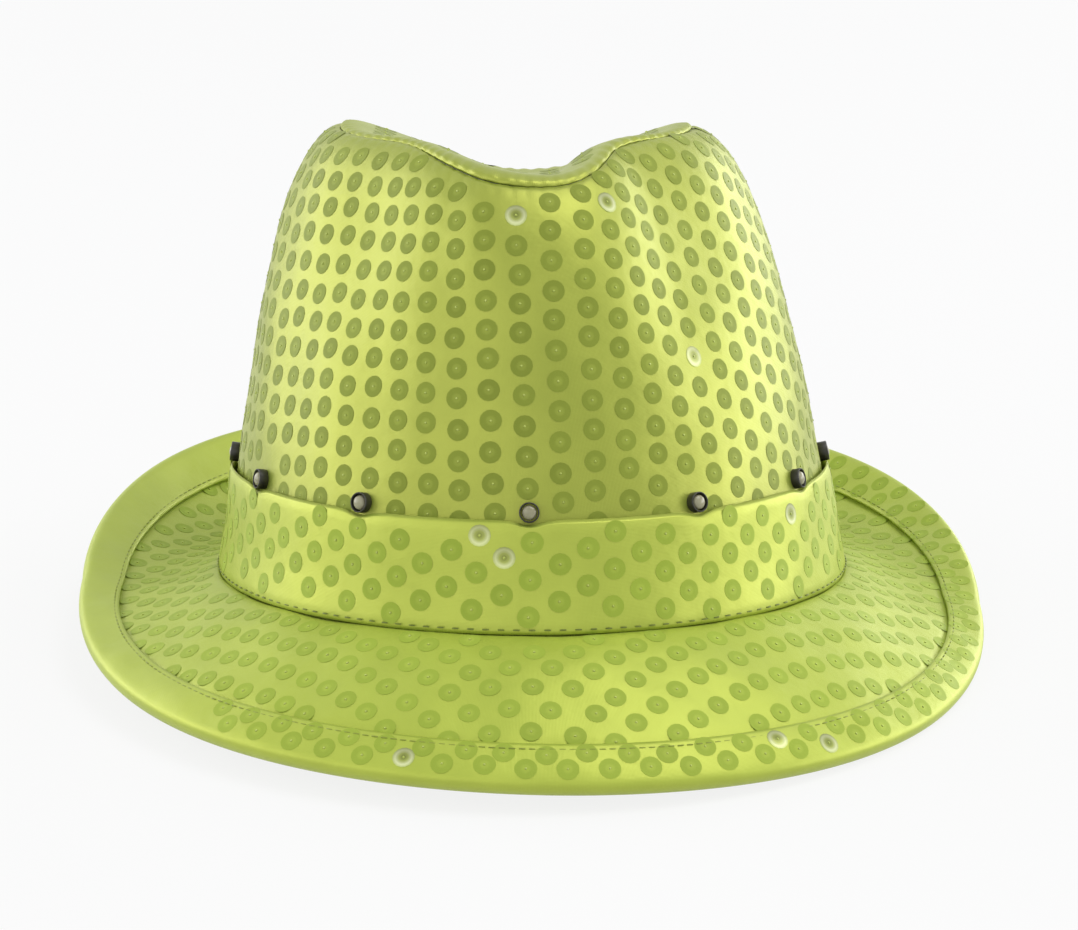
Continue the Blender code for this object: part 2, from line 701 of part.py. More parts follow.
def lamp_mesh(hat):
    """Domed lens on a flange, with two legs joined on behind it."""
    radius = LAMP_LENS_DIAMETER / 2
    shoulder = LAMP_FRONT - radius
    profile = [(LAMP_FLANGE_DIAMETER / 2, LAMP_BACK),
               (LAMP_FLANGE_DIAMETER / 2, LAMP_BACK + LAMP_FLANGE_HEIGHT),
               (radius, LAMP_BACK + LAMP_FLANGE_HEIGHT)]
    for turn in LENS_TURNS:
        rise = math.radians(turn)
        profile.append((radius * math.cos(rise), shoulder + radius * math.sin(rise)))
    body = add_cutter("lamp_body", turned_mesh("lamp_body", profile, SMALL_SIDES), hat)
    half = LAMP_LEG_SIZE / 2
    legs = []
    for side in (-1, 1):
        y = side * LAMP_LEG_PITCH / 2
        low = (-half, y - half, LAMP_LEG_END)
        high = (half, y + half, LAMP_BACK + LAMP_FLANGE_HEIGHT / 2)
        legs.append((low, high))
    boolean(body, "UNION", add_cutter("lamp_legs", blocks_mesh("lamp_legs", legs), hat))
    bpy.context.view_layer.update()
    seen = body.evaluated_get(bpy.context.evaluated_depsgraph_get())
    mesh = bpy.data.meshes.new_from_object(seen)
    mesh.name = "lamp"
    return mesh


def build_lamps(hat, materials, walls):
    """Lamps and their sleeves, and the holes that the sleeves pass through."""
    lamp = lamp_mesh(hat)
    sleeve = tube_mesh("lamp_sleeve", SLEEVE_DIAMETER, SLEEVE_BORE, SLEEVE_BACK, SLEEVE_FRONT)
    hole_diameter = SLEEVE_DIAMETER + 2 * CLEARANCE
    hole = (0, 0, hole_diameter, FORM_INSIDE - OVERCUT, COVER_OUTSIDE + OVERCUT)
    hole_mesh = rods_mesh("sleeve_hole", [hole], ROUND_SIDES)
    for number, theta in enumerate(lamp_angles(), start=1):
        place = lamp_place(theta)
        add_object(f"lamp_{number:02d}", lamp, hat, materials["lamp_plastic"], place)
        add_object(f"lamp_sleeve_{number:02d}", sleeve, hat, materials["sleeve_rubber"], place)
        cutter = add_cutter(f"sleeve_hole_{number:02d}", hole_mesh, hat)
        cutter.matrix_local = place
        for wall in walls:
            boolean(wall, "DIFFERENCE", cutter)


def box_place(lining_side):
    """The battery box's frame: X across, Y up the wall, Z towards the head, floor at zero.

    The box sits at the back, as close to the curved lining as its flat floor can come.
    """
    theta = math.pi
    height = BOX_BOTTOM_HEIGHT + EAR_LENGTH + BOX_HEIGHT / 2
    t = wall_share(theta, height, LINING_INSIDE)
    inward = -crown_normal(theta, t)
    across = Vector((1, 0, 0))
    rotation = Matrix((across, inward.cross(across), inward)).transposed()
    place = Matrix.Translation(wall_point(theta, t, LINING_INSIDE)) @ rotation.to_4x4()
    to_box = place.inverted()
    mesh = lining_side.data
    shares = [step / FOOTPRINT_STEPS for step in range(FOOTPRINT_STEPS + 1)]
    lift = 0.0
    for face in mesh.polygons:
        first, second, third = [to_box @ mesh.vertices[index].co for index in face.vertices]
        for u in shares:
            for v in shares:
                point = first.lerp(second, u).lerp(third, v)
                under = abs(point.x) <= BOX_HALF_WIDTH + CLEARANCE
                under = under and abs(point.y) <= BOX_HIGH + CLEARANCE
                if under and abs(point.z) < BOX_DEPTH:
                    lift = max(lift, point.z)
    return place @ Matrix.Translation((0, 0, lift + CLEARANCE))


def build_tray(box, plastic):
    """Box base: two bays, the door's groove and mouth, screw bosses, board rails and sewing ears."""
    top = BOX_DEPTH + OVERCUT
    body = [((-BOX_HALF_WIDTH, BOX_LOW, 0), (BOX_HALF_WIDTH, BOX_HIGH, BOX_DEPTH))]
    base = add_object("battery_box_base", blocks_mesh("battery_box_base", body), box, plastic)

    bays = [((-BAY_HALF_WIDTH, low, BOX_WALL), (BAY_HALF_WIDTH, high, top))
            for low, high in ((CELL_BAY_LOW, CELL_BAY_HIGH), (BOARD_BAY_LOW, BOARD_BAY_HIGH))]
    shape_blocks(base, "DIFFERENCE", "bay_cut", bays, box)
    groove = [((-GROOVE_HALF_WIDTH, BOX_LOW - OVERCUT, GROOVE_LOW),
               (GROOVE_HALF_WIDTH, CELL_BAY_HIGH, GROOVE_HIGH))]
    shape_blocks(base, "DIFFERENCE", "groove_cut", groove, box)
    mouth = [((-BAY_HALF_WIDTH, BOX_LOW - OVERCUT, GROOVE_LOW + CLEARANCE),
              (BAY_HALF_WIDTH, CELL_MIDDLE, top))]
    shape_blocks(base, "DIFFERENCE", "mouth_cut", mouth, box)

    bosses = [(side * BOSS_X, BOARD_MIDDLE, BOSS_DIAMETER, BOX_WALL / 2, BOX_DEPTH)
              for side in (-1, 1)]
    shape_rods(base, "UNION", "boss_add", bosses, box, ROUND_SIDES)
    rails = []
    for side in (-1, 1):
        edges = sorted((side * BOARD_HALF_WIDTH, side * (BOARD_HALF_WIDTH - BOARD_RAIL_WIDTH)))
        rails.append(((edges[0], BOARD_BAY_LOW - BOX_WALL / 2, BOX_WALL / 2),
                      (edges[1], BOARD_BAY_HIGH + BOX_WALL / 2, BOARD_RAIL_TOP)))
    shape_blocks(base, "UNION", "rail_add", rails, box)
    ears = [((-EAR_WIDTH / 2, low, 0), (EAR_WIDTH / 2, high, BOX_WALL))
            for low, high in ((BOX_LOW - EAR_LENGTH, BOX_LOW + BOX_WALL / 2),
                              (BOX_HIGH - BOX_WALL / 2, BOX_HIGH + EAR_LENGTH))]
    shape_blocks(base, "UNION", "ear_add", ears, box)

    pilot_low = SCREW_LEVEL - SCREW_LENGTH - CLEARANCE
    holes = []
    for side in (-1, 1):
        holes.append((side * BOSS_X, BOARD_MIDDLE, SCREW_HOLE_DIAMETER, pilot_low, top))
        for y in (BOX_LOW - EAR_LENGTH / 2, BOX_HIGH + EAR_LENGTH / 2):
            holes.append((side * EAR_WIDTH / 4, y, EAR_HOLE_DIAMETER, -OVERCUT, BOX_WALL + OVERCUT))
    shape_rods(base, "DIFFERENCE", "hole_cut", holes, box, SMALL_SIDES)
    return base


def build_box_cover(box, plastic):
    """Lid over the board, with holes for the button and the screws."""
    lid = [((-BOX_HALF_WIDTH, CELL_BAY_HIGH + CLEARANCE, COVER_LEVEL),
            (BOX_HALF_WIDTH, BOX_HIGH, COVER_TOP))]
    cover = add_object("battery_box_cover", blocks_mesh("battery_box_cover", lid), box, plastic)
    low, high = COVER_LEVEL - OVERCUT, COVER_TOP + OVERCUT
    holes = [(0, BOARD_MIDDLE, BUTTON_DIAMETER + 2 * CLEARANCE, low, high)]
    for side in (-1, 1):
        holes.append((side * BOSS_X, BOARD_MIDDLE, SCREW_HOLE_DIAMETER, low, high))
    shape_rods(cover, "DIFFERENCE", "cover_hole_cut", holes, box, ROUND_SIDES)


def build_button(box, material):
    """Button whose flange stays under the lid, and whose stem presses the switch."""
    stem, flange, cap = BUTTON_STEM_DIAMETER / 2, BUTTON_FLANGE_DIAMETER / 2, BUTTON_DIAMETER / 2
    profile = [(stem, STEM_LOW), (stem, FLANGE_LOW), (flange, FLANGE_LOW), (flange, FLANGE_TOP),
               (cap, FLANGE_TOP), (cap, COVER_TOP + BUTTON_PROUD)]
    mesh = turned_mesh("push_button", profile, ROUND_SIDES)
    add_object("push_button", mesh, box, material, Matrix.Translation((0, BOARD_MIDDLE, 0)))


def build_door(box, plastic):
    """Battery door that slides down the wall in the box's groove, with grip ribs."""
    half = GROOVE_HALF_WIDTH - CLEARANCE
    face = DOOR_LEVEL + DOOR_THICKNESS
    plate = [((-half, BOX_LOW, DOOR_LEVEL), (half, CELL_BAY_HIGH - CLEARANCE, face))]
    door = add_object("battery_door", blocks_mesh("battery_door", plate), box, plastic)
    grips = []
    for step in range(1, DOOR_GRIP_COUNT + 1):
        y = BOX_LOW + 2 * step * DOOR_GRIP_SIZE
        grips.append(((-CELL_DIAMETER / 4, y, face - DOOR_THICKNESS / 2),
                      (CELL_DIAMETER / 4, y + DOOR_GRIP_SIZE, face + DOOR_GRIP_HEIGHT)))
    shape_blocks(door, "UNION", "grip_add", grips, box)


def build_board(box, materials):
    """Circuit board on its rails, and the switch under the button."""
    board = [((-BOARD_HALF_WIDTH, BOARD_BAY_LOW + CLEARANCE, BOARD_LEVEL),
              (BOARD_HALF_WIDTH, BOARD_BAY_HIGH - CLEARANCE, BOARD_TOP))]
    add_object("circuit_board", blocks_mesh("circuit_board", board), box, materials["board_laminate"])
    half = SWITCH_SIZE / 2
    switch = [((-half, BOARD_MIDDLE - half, SWITCH_LEVEL), (half, BOARD_MIDDLE + half, SWITCH_TOP))]
    add_object("tact_switch", blocks_mesh("tact_switch", switch), box, materials["box_plastic"])


def build_cells(box, steel):
    """Two stacked coin cells, and the contact strips under and over them."""
    radius = CELL_DIAMETER / 2
    profile = [(radius - CELL_BEVEL, 0), (radius, CELL_BEVEL),
               (radius, CELL_THICKNESS - CELL_BEVEL), (radius - CELL_BEVEL, CELL_THICKNESS)]
    can = turned_mesh("coin_cell", profile, 2 * ROUND_SIDES)
    for number, level in ((1, CELL_1_LEVEL), (2, CELL_2_LEVEL)):
        place = Matrix.Translation((0, CELL_MIDDLE, level))
        add_object(f"coin_cell_{number}", can, box, steel, place)
    half_width = CONTACT_WIDTH / 2
    half_length = CELL_BAY / 2 - CLEARANCE
    for name, level in (("plate_contact", PLATE_CONTACT_LEVEL), ("spring_contact", SPRING_CONTACT_LEVEL)):
        strip = [((-half_width, CELL_MIDDLE - half_length, level),
                  (half_width, CELL_MIDDLE + half_length, level + CONTACT_THICKNESS))]
        add_object(name, blocks_mesh(name, strip), box, steel)


def build_screws(box, steel):
    """The two screws that hold the lid."""
    shank, head = SCREW_DIAMETER / 2, SCREW_HEAD_DIAMETER / 2
    profile = [(shank, SCREW_LEVEL - SCREW_LENGTH), (shank, SCREW_LEVEL),
               (head, SCREW_LEVEL), (head, SCREW_LEVEL + SCREW_HEAD_HEIGHT)]
    screw = turned_mesh("cover_screw", profile, SMALL_SIDES)
    for name, side in (("cover_screw_left", -1), ("cover_screw_right", 1)):
        place = Matrix.Translation((side * BOSS_X, BOARD_MIDDLE, 0))
        add_object(name, screw, box, steel, place)


def build_box(box, materials):
    """Every piece of the battery box. The tray is handed back, for the wires' holes."""
    base = build_tray(box, materials["box_plastic"])
    build_box_cover(box, materials["box_plastic"])
    build_button(box, materials["button_plastic"])
    build_door(box, materials["box_plastic"])
    build_board(box, materials)
    build_cells(box, materials["steel"])
    build_screws(box, materials["steel"])
    return base


def smooth_route(points, count):
    """Points along a smooth curve through a route's own points."""
    knots = np.array([tuple(point) for point in points])
    ends = np.vstack([2 * knots[0] - knots[1], knots, 2 * knots[-1] - knots[-2]])
    places = np.linspace(0, len(knots) - 1, count)
    route = []
    for place in places:
        step = min(int(place), len(knots) - 2)
        u = place - step
        before, first, second, after = ends[step:step + 4]
        pull = (second - before) / 2
        push = (after - first) / 2
        route.append(first * (2 * u ** 3 - 3 * u ** 2 + 1) + second * (3 * u ** 2 - 2 * u ** 3)
                     + pull * (u ** 3 - 2 * u ** 2 + u) + push * (u ** 3 - u ** 2))
    return [Vector(point) for point in route]


def wire_route(box_in_hat, entry_x, rise_x, height):
    """From the board, out of the box, through the lining, down the wall and round to the last lamp."""
    inside = [box_in_hat @ Vector((entry_x, BOARD_MIDDLE, level))
              for level in (BOARD_RAIL_TOP, BOX_WALL, -BOX_WALL)]
    entry_height = inside[-1].z

    def behind(x, z):
        radius = wall_at(math.pi, z, WIRE_OFFSET).y
        return wall_at(math.pi - x / radius * BASE_Y / BASE_X, z, WIRE_OFFSET)

    fall = entry_height - height
    down = [behind(entry_x, entry_height - WIRE_BEND / 2)]
    for drift, share in WIRE_FALL_SHARES:
        down.append(behind(entry_x + (rise_x - entry_x) * drift, entry_height - share * fall))
    down.append(behind(rise_x, height + WIRE_BEND))
    start = math.pi - rise_x / wall_at(math.pi, height, WIRE_OFFSET).y * BASE_Y / BASE_X
    turn = WIRE_BEND / BASE_X
    ring = np.linspace(start - turn, -math.pi + LAMP_LEG_SIZE / BASE_X, WIRE_RING_POINTS)
    ring_points = [wall_at(float(theta), height, WIRE_OFFSET) for theta in ring]
    return smooth_route(inside + down + ring_points[:1], WIRE_RISE_POINTS) + ring_points[1:]


def add_wire(name, route, hat, material):
    """A round wire along a route, closed at both ends."""
    curve = bpy.data.curves.new(name, "CURVE")
    curve.dimensions = "3D"
    curve.bevel_depth = WIRE_DIAMETER / 2
    curve.bevel_resolution = 1
    curve.use_fill_caps = True
    spline = curve.splines.new("POLY")
    spline.points.add(len(route) - 1)
    for point, place in zip(spline.points, route):
        point.co = (*place, 1)
    add_object(name, curve, hat, material)


def build_wires(hat, box, box_in_hat, materials, lining_side, base):
    """Both harness wires, their holes in the box floor and their slot in the lining."""
    half = WIRE_ENTRY_SPACING / 2
    holes = [(side * half, BOARD_MIDDLE, WIRE_HOLE_DIAMETER, -OVERCUT, BOX_WALL + OVERCUT)
             for side in (-1, 1)]
    shape_rods(base, "DIFFERENCE", "wire_hole_cut", holes, box, SMALL_SIDES)
    slot_half = half + WIRE_DIAMETER / 2 + LINING_SLOT_MARGIN
    slot = ((-slot_half, BOARD_MIDDLE - LINING_SLOT_FALL, -BOX_DEPTH),
            (slot_half, BOARD_MIDDLE + LINING_SLOT_MARGIN, 0))
    shape_blocks(lining_side, "DIFFERENCE", "lining_slot_cut", [slot], box)
    for name, side, rise in (("positive_wire", 1, WIRE_RISE_FIRST + WIRE_RISE_STEP),
                             ("negative_wire", -1, WIRE_RISE_FIRST)):
        height = LAMP_HEIGHT + side * LAMP_LEG_PITCH / 2
        add_wire(name, wire_route(box_in_hat, side * half, rise, height), hat, materials["wire_plastic"])


def rest_on_surface(hat):
    """Lean the hat back until its brim rests front and back, and centre its box on the Z axis."""
    pieces = [bpy.data.objects[name] for name in ("brim_edge_binding", "brim_under_cover")]
    points = np.array([vertex.co for piece in pieces for vertex in piece.data.vertices])
    front = points[points[:, 1] < 0]
    back = points[points[:, 1] > 0]
    low, high = 0.0, LEAN_LIMIT

    def lowest(part):
        return (part[:, 2] * math.cos(lean) - part[:, 1] * math.sin(lean)).min()

    for _ in range(SEARCH_STEPS):
        lean = (low + high) / 2
        if lowest(front) < lowest(back):
            low = lean
        else:
            high = lean
    turned = Matrix.Rotation(-low, 4, "X")
    placed = points @ np.array(turned.to_3x3()).T
    middle = (placed.min(axis=0) + placed.max(axis=0)) / 2
    hat.matrix_local = Matrix.Translation((-middle[0], -middle[1], -placed[:, 2].min())) @ turned


def main():
    """Build the whole hat."""
    clear_scene()
    materials = make_materials()
    hat = add_object("hat", None, None)
    crown_form, side_cover, lining_side = build_crown(hat, materials)
    build_brim(hat, materials)
    build_lamps(hat, materials, (side_cover, crown_form))
    box_in_hat = box_place(lining_side)
    box = add_object("battery_box", None, hat, place=box_in_hat)
    base = build_box(box, materials)
    build_wires(hat, box, box_in_hat, materials, lining_side, base)
    rest_on_surface(hat)


main()
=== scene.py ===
"""The looks of a light-up sequin fedora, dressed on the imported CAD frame.

Lengths are metres and angles are radians. Cloth layers are worked out in the hat's own
frame, whose origin is the middle of the head opening and whose Z runs up the crown, and
are then placed by the head_opening mount, so each stands where its CAD piece stands.
Angles round the hat start at the front and turn towards +X.
"""
import itertools
import json
import math
from math import radians

import bpy
import numpy as np
from mathutils import Matrix, Vector


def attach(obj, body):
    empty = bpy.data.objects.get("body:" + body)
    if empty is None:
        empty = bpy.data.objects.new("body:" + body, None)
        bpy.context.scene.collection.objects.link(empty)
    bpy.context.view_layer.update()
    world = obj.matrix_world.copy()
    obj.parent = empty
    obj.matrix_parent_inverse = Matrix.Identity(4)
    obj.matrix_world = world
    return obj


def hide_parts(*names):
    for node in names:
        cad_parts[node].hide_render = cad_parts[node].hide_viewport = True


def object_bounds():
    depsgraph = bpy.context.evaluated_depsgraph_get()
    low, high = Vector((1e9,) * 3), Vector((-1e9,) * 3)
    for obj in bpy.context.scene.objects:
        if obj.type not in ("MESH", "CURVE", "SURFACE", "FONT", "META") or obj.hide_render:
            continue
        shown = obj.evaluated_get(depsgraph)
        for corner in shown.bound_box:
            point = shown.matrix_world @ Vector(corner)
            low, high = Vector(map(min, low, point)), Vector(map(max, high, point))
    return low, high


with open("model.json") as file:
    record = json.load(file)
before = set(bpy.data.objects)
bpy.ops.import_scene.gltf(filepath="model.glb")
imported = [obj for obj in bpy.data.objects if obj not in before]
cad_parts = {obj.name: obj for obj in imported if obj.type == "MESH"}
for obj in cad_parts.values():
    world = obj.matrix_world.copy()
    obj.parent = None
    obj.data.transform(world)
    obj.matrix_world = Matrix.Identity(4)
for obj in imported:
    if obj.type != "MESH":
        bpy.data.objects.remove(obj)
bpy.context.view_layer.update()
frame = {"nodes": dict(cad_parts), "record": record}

# Crown, as the CAD model has it
BASE_X = 0.0887
BASE_Y = 0.1072
CROWN_SIDE_HEIGHT = 0.1285
CROWN_BACK_HEIGHT = 0.106
CROWN_DENT_HEIGHT = 0.110
CROWN_BEND_HEIGHT = 0.060
CROWN_BEND_INSET = 0.0115
CROWN_SHOULDER_INSET = 0.0208
CROWN_RIDGE_INSET = 0.0395
FRONT_NOTCH_DEPTH = 0.0085
FRONT_NOTCH_ANGLE = radians(26)
PINCH_DEPTH = 0.0105
PINCH_ANGLE = radians(44)
PINCH_FRONT_SPREAD = radians(17)
PINCH_BACK_SPREAD = radians(28)
PINCH_RUN = (0.17, 0.70)

# Brim, as the CAD model has it
BRIM_REACH = (0.040, 0.0365, 0.040)
BRIM_DROP = (0.0235, 0.0200, 0.004)
BRIM_CURL = (-0.005, 0.014, 0.025)
BRIM_DROP_POWER = 1.2
BRIM_CURL_POWER = 2.4
RING_OUTSET = 0.0030
BINDING_WIDTH = 0.010

# Layers, from the outer face of the crown form and from the top of the brim core
COVER = (0.0011, 0.0003)
BAND = (0.0024, 0.0014)
FORM = (0.0, -0.0012)
LINING = (-0.0038, -0.0044)
SWEATBAND = (-0.0047, -0.0057)
BRIM_TOP = (0.0011, 0.0003)
BRIM_CORE = (0.0, -0.0015)
BRIM_UNDER = (-0.0018, -0.0026)
BINDING_TOP = (0.0022, 0.0014)
BINDING_LOW = (-0.0037, -0.0029)
BAND_LOW = 0.0014
BAND_HIGH = 0.0304
SWEATBAND_HIGH = 0.028
FOOT = 0.0003
BRIM_TOP_GAP = 0.0003

# How the soft hat in the photo differs from the even CAD shape
PINCH_LEFT_SPREAD = radians(30)
PINCH_LEFT_RUN = radians(20)
CROWN_LEAN = -0.0045
CROWN_SAG = 0.0017
CROWN_SWELL = (0.0003, 0.0018)
SWELL_RISE = (0.15, 0.5)
SWELL_FALL = (0.55, 1.0)
BACK_TURN = radians(3)
BACK_POWER = 2.4
BACK_RISE = 0.0010
TIP_POWER = 1.25
NOTCH_TURN = radians(10)
NOTCH_LEFT_ANGLE = radians(38)
BRIM_SWING = -0.0040
BRIM_LIFT = -0.0022
BRIM_EASE = 0.0012

# Seams of the cloth: shares are of the crown wall's run or of the brim's width
SEAM_FRONT = 0.885
SEAM_SIDE = 0.97
SEAM_SPREAD = radians(38)
LINING_SEAM = 0.86
SEAM_GAP = 0.004
SEAM_DEPTH = 0.0005
SEAM_REACH = 0.0010
TIP_SEAM_REACH = 0.0005
BACK_SEAM_REACH = 0.0018
WELT_HEIGHT = 0.00025
WELT_RISE = (0.0, 0.0012)
WELT_FALL = (0.003, 0.008)
HEM_SEAM_DEPTH = 0.0003
HEM_SEAM_REACH = 0.0012
HEM_COVERED = 0.12

# Waves, folds and edges of the cloth; a ripple is a depth and a length
SIDE_RIPPLE = (0.00025, 0.030)
TIP_RIPPLE = (0.0003, 0.035)
BAND_RIPPLE = (0.0002, 0.028)
BRIM_RIPPLE = (0.00022, 0.026)
BINDING_RIPPLE = (0.00022, 0.022)
RIPPLE_WAVES = 6
RIPPLE_VARIETY = (0.7, 1.4)
PUCKER_DEPTH = 0.00006
PUCKER_REACH = 0.0026
GATHER_DEPTH = 0.00016
GATHER_LENGTH = 0.0045
GATHER_REACH = 0.0045
GATHER_WANDER = 2.5
WANDER_RUN = 0.011
BAND_RISE = 0.0013
BAND_NOTCH = 0.0044
BAND_FLARE = 0.0008
BAND_FLARE_RUN = (0.3, 1.0)
BAND_ROLL = 0.0004
BAND_ROLL_RUN = (0.0, 0.08)
BINDING_PUFF = 0.0004
PUFF_POWER = 0.6
NOSE_REACH = 0.0018
NOSE_TURNS = np.radians((60, 35, 10, -15, -40, -65))
BINDING_FOLD = 0.0003
PLEATS = 46
PLEAT_DEPTH = 0.0005
PLEAT_WANDER = 3
PLEAT_WANDERS = 3
PLEAT_RISE = (0.25, 0.9)
PLEAT_END = 1.2
PLEAT_FREE = (radians(18), radians(32))
TAPE_WAVES = 9
TAPE_WAVE_DEPTH = 0.0004
TAPE_WAVE_TURN = 1.3
TAPE_WAVE_RISE = (0.6, 1.0)

# Stitches: their profile is shares of the half width and of the length
STITCH_PROFILE = ((0.3, -0.5), (0.9, -0.42), (1.0, 0.0), (0.9, 0.42), (0.3, 0.5))
STITCH_WIDTH = 0.0004
STITCH_HALF = 0.0011
STITCH_TURN = STITCH_HALF / BASE_Y
STITCH_LIFT = 0.0001
BAND_STITCHES = 150
BAND_STITCH_HEIGHT = BAND_LOW + 0.0012
TAPE_STITCHES = 180
TAPE_STITCH_HEIGHT = 0.0035
HEM_STITCHES = 300
HEM_STITCH_WIDTH = 0.00042
HEM_STITCH_LIFT = 0.0002
HEM_STITCH_INSET = 0.0013
HEM_STITCH_SHARE = 0.684
HEM_STITCH_TURN = HEM_STITCH_SHARE * math.pi / HEM_STITCHES
THREAD_SIDES = 6

# Sequins: the knot's profile is shares of the hole's radius, and heights
SEQUIN_RADIUS = 0.0030
SEQUIN_HOLE = 0.00040
SEQUIN_SIDES = 16
SEQUIN_CUP = 0.00002
SEQUIN_BEND = (0.55 * SEQUIN_RADIUS, 0.2 * SEQUIN_CUP)
SEQUIN_THICK = 0.00003
SEQUIN_LIFT = 0.00004
SEQUIN_TILT = 0.004
SEQUIN_JITTER = 0.00025
EDGE_ROOM = 1.1 * SEQUIN_RADIUS
KNOT_PROFILE = ((0.9, -0.0001), (0.81, 0.00012), (0.36, 0.00024))
CROWN_COLUMN = 0.0094
CROWN_PITCH = 0.0083
CROWN_SHIFT = 0.25
LEFT_STAGGER = 0.2
TIP_COLUMN = 0.0095
TIP_PITCH = 0.0083
TIP_STEPS = (8, 12)
BAND_PITCH = 0.0090
BAND_TURNS = (radians(-40), radians(27))
BAND_STEPS = 90
BAND_END_ROOM = 0.002
BAND_TOP_ROOM = 0.0013
BRIM_ROW = 0.0058
BRIM_PITCH = 0.0110
BRIM_STEPS = (14, 26)
TOP_FIRST = 0.03
UNDER_FIRST = -0.13
UNDER_SHIFT = 0.002
HEM_ROWS = (0.0030, 0.0068)
HEM_PITCH = 0.0112
HEM_PLAIN = (radians(205), radians(318))
HEM_PHASE = 0.25
HEM_PHASE_STEP = 0.1
HEM_FALL = 90
RAGGED_EDGE = (radians(95), radians(135))
RAGGED_INSET = 0.0012
# Painted glints: places, in pixels, of the sequins whose film is painted with a highlight, and how squarely
# these must face the camera
CROWN_PAINTED_GLINT_SPOTS = ((602, 201), (502, 217), (690, 345))
BAND_PAINTED_GLINT_SPOTS = ((467, 539), (513, 547), (790, 520))
HEM_PAINTED_GLINT_SPOTS = ((403, 772), (786, 725), (834, 748))
PAINTED_GLINT_FACING = 0.2

# Lamps
LAMP_COUNT = 12
LAMP_HEIGHT = 0.0335
LAMP_SIDES = 28
SLEEVE_RADIUS = 0.0028
SLEEVE_BORE = 0.0024
SLEEVE_BACK = -0.0012
SLEEVE_FRONT = 0.0037
SLEEVE_LIP = 0.00025
SLEEVE_CORNER = 0.3 * SLEEVE_LIP
SLEEVE_MOUTH = 0.4 * SLEEVE_LIP
SLEEVE_MIDDLE = 0.003
SLEEVE_ROOM = 0.7 * SEQUIN_RADIUS
LENS_RADIUS = 0.0020
LENS_DOME = 0.0012
DOME_TURNS = np.radians((0, 15, 30, 45, 60, 75, 89))
LENS_FRONT = 0.0041
LENS_BACK = 0.0001
LENS_BACK_HOLE = 0.00002
FLANGE_RADIUS = 0.0021
FLANGE_HEIGHT = 0.0010
CUP_PROFILE = ((0.0004, 0.0006), (0.0010, 0.0020), (0.0012, 0.0020), (0.0007, 0.0004))
CUP_SIDES = 14
LEG_PITCH = 0.0025
LEG_SIZE = 0.0005
LEG_END = -0.0016
LEG_GAP = 0.00005

# Mesh fineness, searches and the random seed
FINE = 480
COARSE = 120
WALL_FIRST = 0.002
PAST_RIDGE = 1.04
POLE = 1.995
SIDE_ROWS = 110
SIDE_ROW_POWER = 1.35
TIP_ROWS = 60
TIP_ROW_POWER = 1.3
BAND_ROWS = 28
BRIM_ROWS = 40
BINDING_ROWS = 12
FORM_ROWS = 30
FORM_TIP_ROWS = 16
TAPE_ROWS = 18
BACK_ROWS = 14
BRIM_BACK_ROWS = 10
BAND_STEP = 4
BINDING_STEP = 3
RING_POINTS = 1441
LATTICE_TURNS = 721
LATTICE_ROWS = 80
SEED = 7
SLOPE_STEP = 1e-4
SEARCH_STEPS = 36
WALL_LOWEST = -0.2
OUTSET_SEARCH = (-0.05, 0.10)
TIP_PASSES = 6

# Textures: noise cells to a metre, depths of relief, tones and tints
CLOTH_PATCHES = 45
CLOTH_CRINKLES = 170
CLOTH_TONES = 0.15
WEAVE_RELIEF = 0.04
SHEEN_ROUGHNESS = 0.4
SATIN_THREAD = 0.00035
SATIN_CRINKLE = 0.0002
GOLD_TINT = (0.98, 1.0, 0.22, 1)
FILM_TINT = (0.95, 1.0, 0.3, 1)
FILM_SCUFFS = 900
FILM_STOPS = (0.16, 0.36, 0.52, 0.97)
# Ring stops of the sequin film that is painted with a glint
PAINTED_GLINT_STOPS = (0.18, 0.42, 0.75, 0.97)
PLASTIC_PATCHES = 120
PLASTIC_GLOSS = 0.06
PLASTIC_LIGHT = (1.25, 0.004)
PLASTIC_ROUNDING = 0.0003
THREAD_PATCHES = 60
THREAD_TWIST = 2500
TWIST_DEPTH = 0.00005
THREAD_ROUGHNESS = 0.5
LENS_PATCHES = 400
LENS_ROUGHNESS = 0.08
FINE_RELIEF = 0.00002
STEEL_GLOSS = (0.22, 0.38)
STEEL_SHADE = 0.85
WAVE_RUN = math.pi / 10
TRACK_PITCH = 0.0016
TRACK_WANDER = 2.0
TRACK_TONES = 0.05
TRACK_RELIEF = 0.00003
BOARD_ROUGHNESS = 0.35

# Camera, in the hat's frame, and the photo's frame in pixels
CAMERA_ELEVATION = radians(10.5)
CAMERA_DISTANCE = 1.5
PHOTO_WIDTH = 1078
PHOTO_HEIGHT = 930
PHOTO_SCALE = 3450.0
HAT_PIXEL = (532, 566)
SENSOR_WIDTH = 36.0

# Studio: each softbox has a name, a place, a width and height, and a power
SOFTBOXES = (
    ("left_softbox", (-1.45, 0.45, 0.40), (1.9, 1.0), 15),
    ("right_softbox", (1.44, 0.65, 0.32), (2.6, 0.6), 18.5),
    ("top_softbox", (0.80, -0.20, 1.70), (1.2, 1.2), 15),
    ("front_softbox", (-0.95, -1.45, 0.80), (2.0, 1.2), 6.5),
)
LIGHT_TARGET = Vector((0, 0, 0.07))
AMBIENT_COLOUR = (0.95, 0.97, 1.0, 1)
AMBIENT_STRENGTH = 0.42
FLOOR_SIZE = 12
FLOOR_GAP = 0.0002
FLOOR_COLOUR = (0.75, 0.75, 0.75, 1)
FLOOR_WHITENESS = 0.85
FLOOR_ROUGHNESS = 0.9

rng = np.random.default_rng(SEED)


def hat_matrix():
    """The hat's frame, from its head_opening mount."""
    mount = next(m for m in frame["record"]["mounts"] if m["name"] == "head_opening")
    up = -Vector(mount["axis"]).normalized()
    across = Vector((1, 0, 0))
    rotation = Matrix((across, up.cross(across), up)).transposed()
    return Matrix.Translation(mount["pos_m"]) @ rotation.to_4x4()


HAT = hat_matrix()
HAT_TURN = np.array(HAT.to_3x3())
HAT_PLACE = np.array(HAT.translation)


